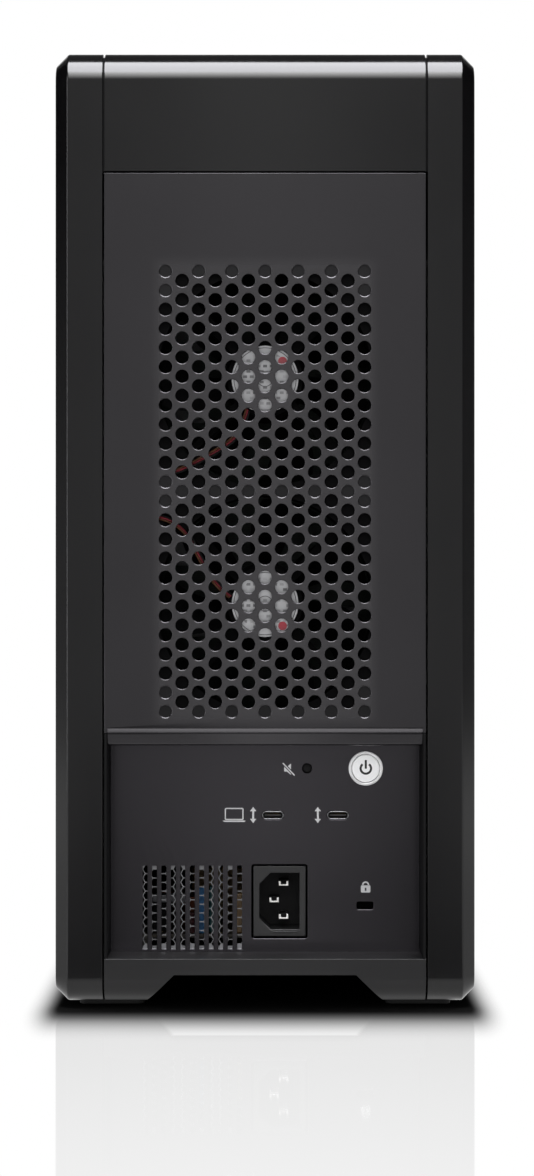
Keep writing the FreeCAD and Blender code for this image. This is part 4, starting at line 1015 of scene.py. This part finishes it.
latch_plastic = finish("latch_plastic", (0.030, 0.030, 0.032), 0.34, grain=2600.0, bump=0.12, tone=0.1,
                       specular=0.45)
drive_casting = finish("drive_casting", (0.30, 0.30, 0.31), 0.42, grain=700.0, bump=0.25, tone=0.2,
                       metallic=1.0)
drive_lid = finish("drive_lid", (0.66, 0.67, 0.68), 0.26, grain=300.0, bump=0.05, tone=0.15, spread=0.2,
                   metallic=1.0, stretch=(0.1, 6.0, 1.0))
dressed("front_fascia", "front_frame", black_plastic, 0.4, 2)
for bay in range(1, 9):
    tray_body, latch_body = "tray_%d_body" % bay, "latch_%d_body" % bay
    dressed("tray_%d_moulding" % bay, "drive_tray_%d" % bay, black_plastic, 0.35, 2,
            tray_body)
    dressed("latch_%d_lever" % bay, "tray_latch_%d" % bay, latch_plastic, 0.3, 2,
            latch_body)
    drive = from_solid("hard_drive_%d" % bay, 0.4, 2)
    lid_z = max(v.co.z for v in drive.verts) - 0.8
    second_finish(drive, lambda p: p.z > lid_z)
    piece("drive_%d_body" % bay, drive, [drive_casting, drive_lid], body=tray_body,
          stands_for="hard_drive_%d" % bay)


# Studio. A white floor that fades into a white surround. Soft boxes round the tower light it evenly, one
# more over the rear gives the bright line along the top edge, and dark boards keep the flanks black.

def studio_sheet(name, width, depth, place, facing, material):
    """Flat rectangle of the studio, with its middle at a place and its front towards a point."""
    sheet = bmesh.new()
    bmesh.ops.create_grid(sheet, x_segments=1, y_segments=1, size=0.5)
    bmesh.ops.scale(sheet, vec=(width, depth, 1.0), verts=sheet.verts)
    turn = (Vector(facing) - Vector(place)).to_track_quat("Z", "Y").to_matrix().to_4x4()
    bmesh.ops.transform(sheet, matrix=Matrix.Translation(place) @ turn, verts=sheet.verts)
    mesh = bpy.data.meshes.new(name)
    sheet.to_mesh(mesh)
    sheet.free()
    mesh.materials.append(material)
    thing = bpy.data.objects.new(name, mesh)
    bpy.context.scene.collection.objects.link(thing)
    return thing


white_floor = bpy.data.materials.new("white_floor")
white_floor.use_nodes = True
tree = white_floor.node_tree
matt = tree.nodes["Principled BSDF"]
matt.inputs["Specular IOR Level"].default_value = 0.0
place = vector_figure(tree, "ABSOLUTE", object_place(tree))
# Close round the tower the floor is painted dark, a painted shadow, and further out it is white to the
# camera.
beyond = vector_figure(tree, "SUBTRACT", place, (0.083, 0.158, 0.0))
beyond = vector_figure(tree, "MAXIMUM", beyond, (0, 0, 0))
away = vector_figure(tree, "LENGTH", vector_figure(tree, "DIVIDE", beyond, (0.017, 0.095, 1.0)))
fade = ramp(tree, away, 0.10, 0.95, kind="SMOOTHSTEP")
tree.links.new(ramp(tree, away, 0.3, 1.2, 0.02, 0.85), matt.inputs["Base Color"])
path = add_node(tree, "ShaderNodeLightPath")
spot = add_node(tree, "ShaderNodeSeparateXYZ", {0: place})
across, along = spot.outputs["X"], spot.outputs["Y"]
# To the paint that mirrors it, the floor glows with painted light: bright before the tower's middle, far to
# its sides and close by.
swing = figure(tree, "DIVIDE", across, figure(tree, "ADD", along, 1.023))
far = ramp(tree, along, 0.40, 0.78, 0.13, 1.0, "SMOOTHSTEP")
close = ramp(tree, along, 0.26, 0.34, 1.0, 0.0, "SMOOTHSTEP")
centre = ramp(tree, swing, 0.0, 0.060, 1.0, 0.0, "SMOOTHSTEP")
bright = figure(tree, "MULTIPLY", centre, figure(tree, "MAXIMUM", far, close))
sides = ramp(tree, swing, 0.07, 0.14, kind="SMOOTHSTEP")
border = ramp(tree, along, 0.18, 0.25, 1.0, 0.0)
flank = figure(tree, "MULTIPLY", ramp(tree, swing, 0.056, 0.062), ramp(tree, along, 0.35, 1.1, 0.05, 0.50))
for patch in (sides, border, flank):
    bright = figure(tree, "MAXIMUM", bright, patch)
bright = ramp(tree, bright, 0.0, 1.0, 0.03, 1.0)
level = ramp(tree, path.outputs["Is Glossy Ray"], 0.0, 1.0, 1.0, bright)
glow = add_node(tree, "ShaderNodeEmission", {"Strength": level})
under = vector_figure(tree, "SUBTRACT", place, (0.074, 0.147, 0.0))
under = vector_figure(tree, "LENGTH", vector_figure(tree, "MAXIMUM", under, (0, 0, 0)))
mirrored = figure(tree, "MULTIPLY", ramp(tree, under, 0.0, 0.006), path.outputs["Is Glossy Ray"])
direct = figure(tree, "MULTIPLY", fade, path.outputs["Is Camera Ray"])
white = figure(tree, "MAXIMUM", mirrored, direct)
blended = add_node(tree, "ShaderNodeMixShader", {0: white, 1: matt.outputs[0], 2: glow.outputs[0]})
# A faint mirror image lies on the floor near the tower. It is left out under the cut-out of the pan.
mirror = add_node(tree, "ShaderNodeBsdfGlossy", {"Color": (1, 1, 1, 1), "Roughness": 0.04})
nearby = ramp(tree, vector_figure(tree, "LENGTH", place), 0.55, 0.95, 1.0, 0.0)
slant = figure(tree, "MULTIPLY_ADD", along, 0.178, across)
outside = figure(tree, "MAXIMUM", ramp(tree, slant, 0.0753, 0.0773), ramp(tree, along, 0.227, 0.232))
share = add_node(tree, "ShaderNodeFresnel", {"IOR": 1.09}).outputs[0]
for limit in (fade, nearby, outside):
    share = figure(tree, "MULTIPLY", share, limit)
polished = add_node(tree, "ShaderNodeMixShader", {0: share, 1: blended.outputs[0], 2: mirror.outputs[0]})
tree.links.new(polished.outputs[0], tree.nodes["Material Output"].inputs["Surface"])
studio_floor = studio_sheet("studio_floor", 12.0, 12.0, (0, 0, 0), (0, 0, 1), white_floor)


def board(name, width, height, place, facing, low, high, rise=(1.0, 2.3), middle=0.0, outer=0.0):
    """Board that only shows in reflections: its grey changes with height, and its middle or ends can glow."""
    grey = bpy.data.materials.new(name)
    grey.use_nodes = True
    tree = grey.node_tree
    tree.nodes.remove(tree.nodes["Principled BSDF"])
    spot = add_node(tree, "ShaderNodeSeparateXYZ", {0: object_place(tree)})
    off = figure(tree, "ABSOLUTE", spot.outputs["X"])
    total = ramp(tree, spot.outputs["Z"], *rise, low, high)
    total = figure(tree, "ADD", total, ramp(tree, off, 0.0, 0.27, middle, 0.0, "SMOOTHSTEP"))
    total = figure(tree, "ADD", total, ramp(tree, off, 0.19, 0.23, 0.0, outer))
    light = add_node(tree, "ShaderNodeEmission", {"Strength": total})
    tree.links.new(light.outputs[0], tree.nodes["Material Output"].inputs["Surface"])
    thing = studio_sheet(name, width, height, place, facing, grey)
    thing.visible_camera = False
    thing.visible_diffuse = False
    thing.visible_shadow = False
    thing.visible_transmission = False


board("rear_board", 5.0, 2.0, (0, -2.5, 1.0), (0, 0, 1.0), 0.17, 0.17, middle=0.75, outer=0.34)
board("rear_sky_board", 0.8, 1.3, (0, -2.45, 1.65), (0, 0, 1.65), 0.5, 15.0)
board("left_board", 4.0, 2.0, (-1.9, -0.7, 1.0), (0, -0.7, 1.0), 0.33, 0.0, (0.2, 0.62))
board("right_board", 4.0, 2.0, (1.9, -0.7, 1.0), (0, -0.7, 1.0), 0.20, 0.0, (0.2, 0.72))
board("ceiling_board", 5.0, 3.4, (0, 1.25, 2.1), (0, 1.25, 0), 0.10, 0.10)

floor_left_out = bpy.data.collections.new("floor_left_out")
floor_left_out.objects.link(studio_floor)
floor_left_out.collection_objects[0].light_linking.link_state = "EXCLUDE"


def soft_box(name, size, power, place, aim, tint=(1.0, 1.0, 1.0)):
    """Rectangular lamp that points at a spot and is itself out of the picture."""
    lamp = bpy.data.lights.new(name, "AREA")
    lamp.shape = "RECTANGLE"
    lamp.size, lamp.size_y = size
    lamp.energy = power
    lamp.color = tint
    thing = bpy.data.objects.new(name, lamp)
    thing.location = place
    thing.rotation_euler = (Vector(aim) - Vector(place)).to_track_quat("-Z", "Y").to_euler()
    thing.visible_camera = False
    bpy.context.scene.collection.objects.link(thing)
    return thing


for name, place, power in (
    ("rear_fill", (0.0, -1.7, 0.45), 9.0),
    ("front_fill", (0.0, 1.7, 0.45), 10.0),
    ("left_fill", (-1.7, 0.0, 0.45), 5.0),
    ("right_fill", (1.7, 0.0, 0.45), 5.0),
):
    fill = soft_box(name, (1.5, 1.2), power, place, (0, 0, 0.2))
    fill.visible_glossy = False
    fill.light_linking.receiver_collection = floor_left_out
for name, y in (("rear_bounce", -0.64), ("front_bounce", 0.64)):
    bounce = soft_box(name, (0.8, 0.8), 3.0, (0.0, y, 0.004), (0, y, 1))
    bounce.visible_glossy = False
    bounce.light_linking.receiver_collection = floor_left_out
overhead = soft_box("overhead", (1.5, 0.6), 30.0, (0.0, 0.14, 1.9), (0, 0.14, 0))
overhead.visible_glossy = False
for name, size, power, place, aim in (
    ("top_edge_light", (2.0, 1.32), 145.0, (0.0, -0.86, 1.77), (0, -0.15, 0.38)),
    ("side_edge_light", (0.25, 1.2), 8.0, (-1.50, -1.10, 0.50), (0, -0.15, 0.20)),
):
    edge_light = soft_box(name, size, power, place, aim, (0.96, 0.96, 1.0))
    edge_light.visible_diffuse = False

surround = bpy.data.worlds.new("white_surround")
bpy.context.scene.world = surround
surround.use_nodes = True
tree = surround.node_tree
path = add_node(tree, "ShaderNodeLightPath")
direct = figure(tree, "MAXIMUM", path.outputs["Is Camera Ray"], path.outputs["Is Glossy Ray"])
direct = figure(tree, "MAXIMUM", direct, path.outputs["Is Transmission Ray"])
level = ramp(tree, direct, 0.0, 1.0, 0.15, 1.0)
backdrop = tree.nodes["Background"]
backdrop.inputs["Color"].default_value = (1.0, 1.0, 1.0, 1.0)
tree.links.new(level, backdrop.inputs["Strength"])

lens = bpy.data.cameras.new("rear_camera")
lens.sensor_width = 36.0
lens.lens = 86.65
camera = bpy.data.objects.new("rear_camera", lens)
camera.location = (0.0008, -1.322, 0.1726)
camera.rotation_euler = (math.pi / 2, 0.0, 0.0)
bpy.context.scene.collection.objects.link(camera)
bpy.context.scene.camera = camera
bpy.context.scene.view_settings.view_transform = "Standard"
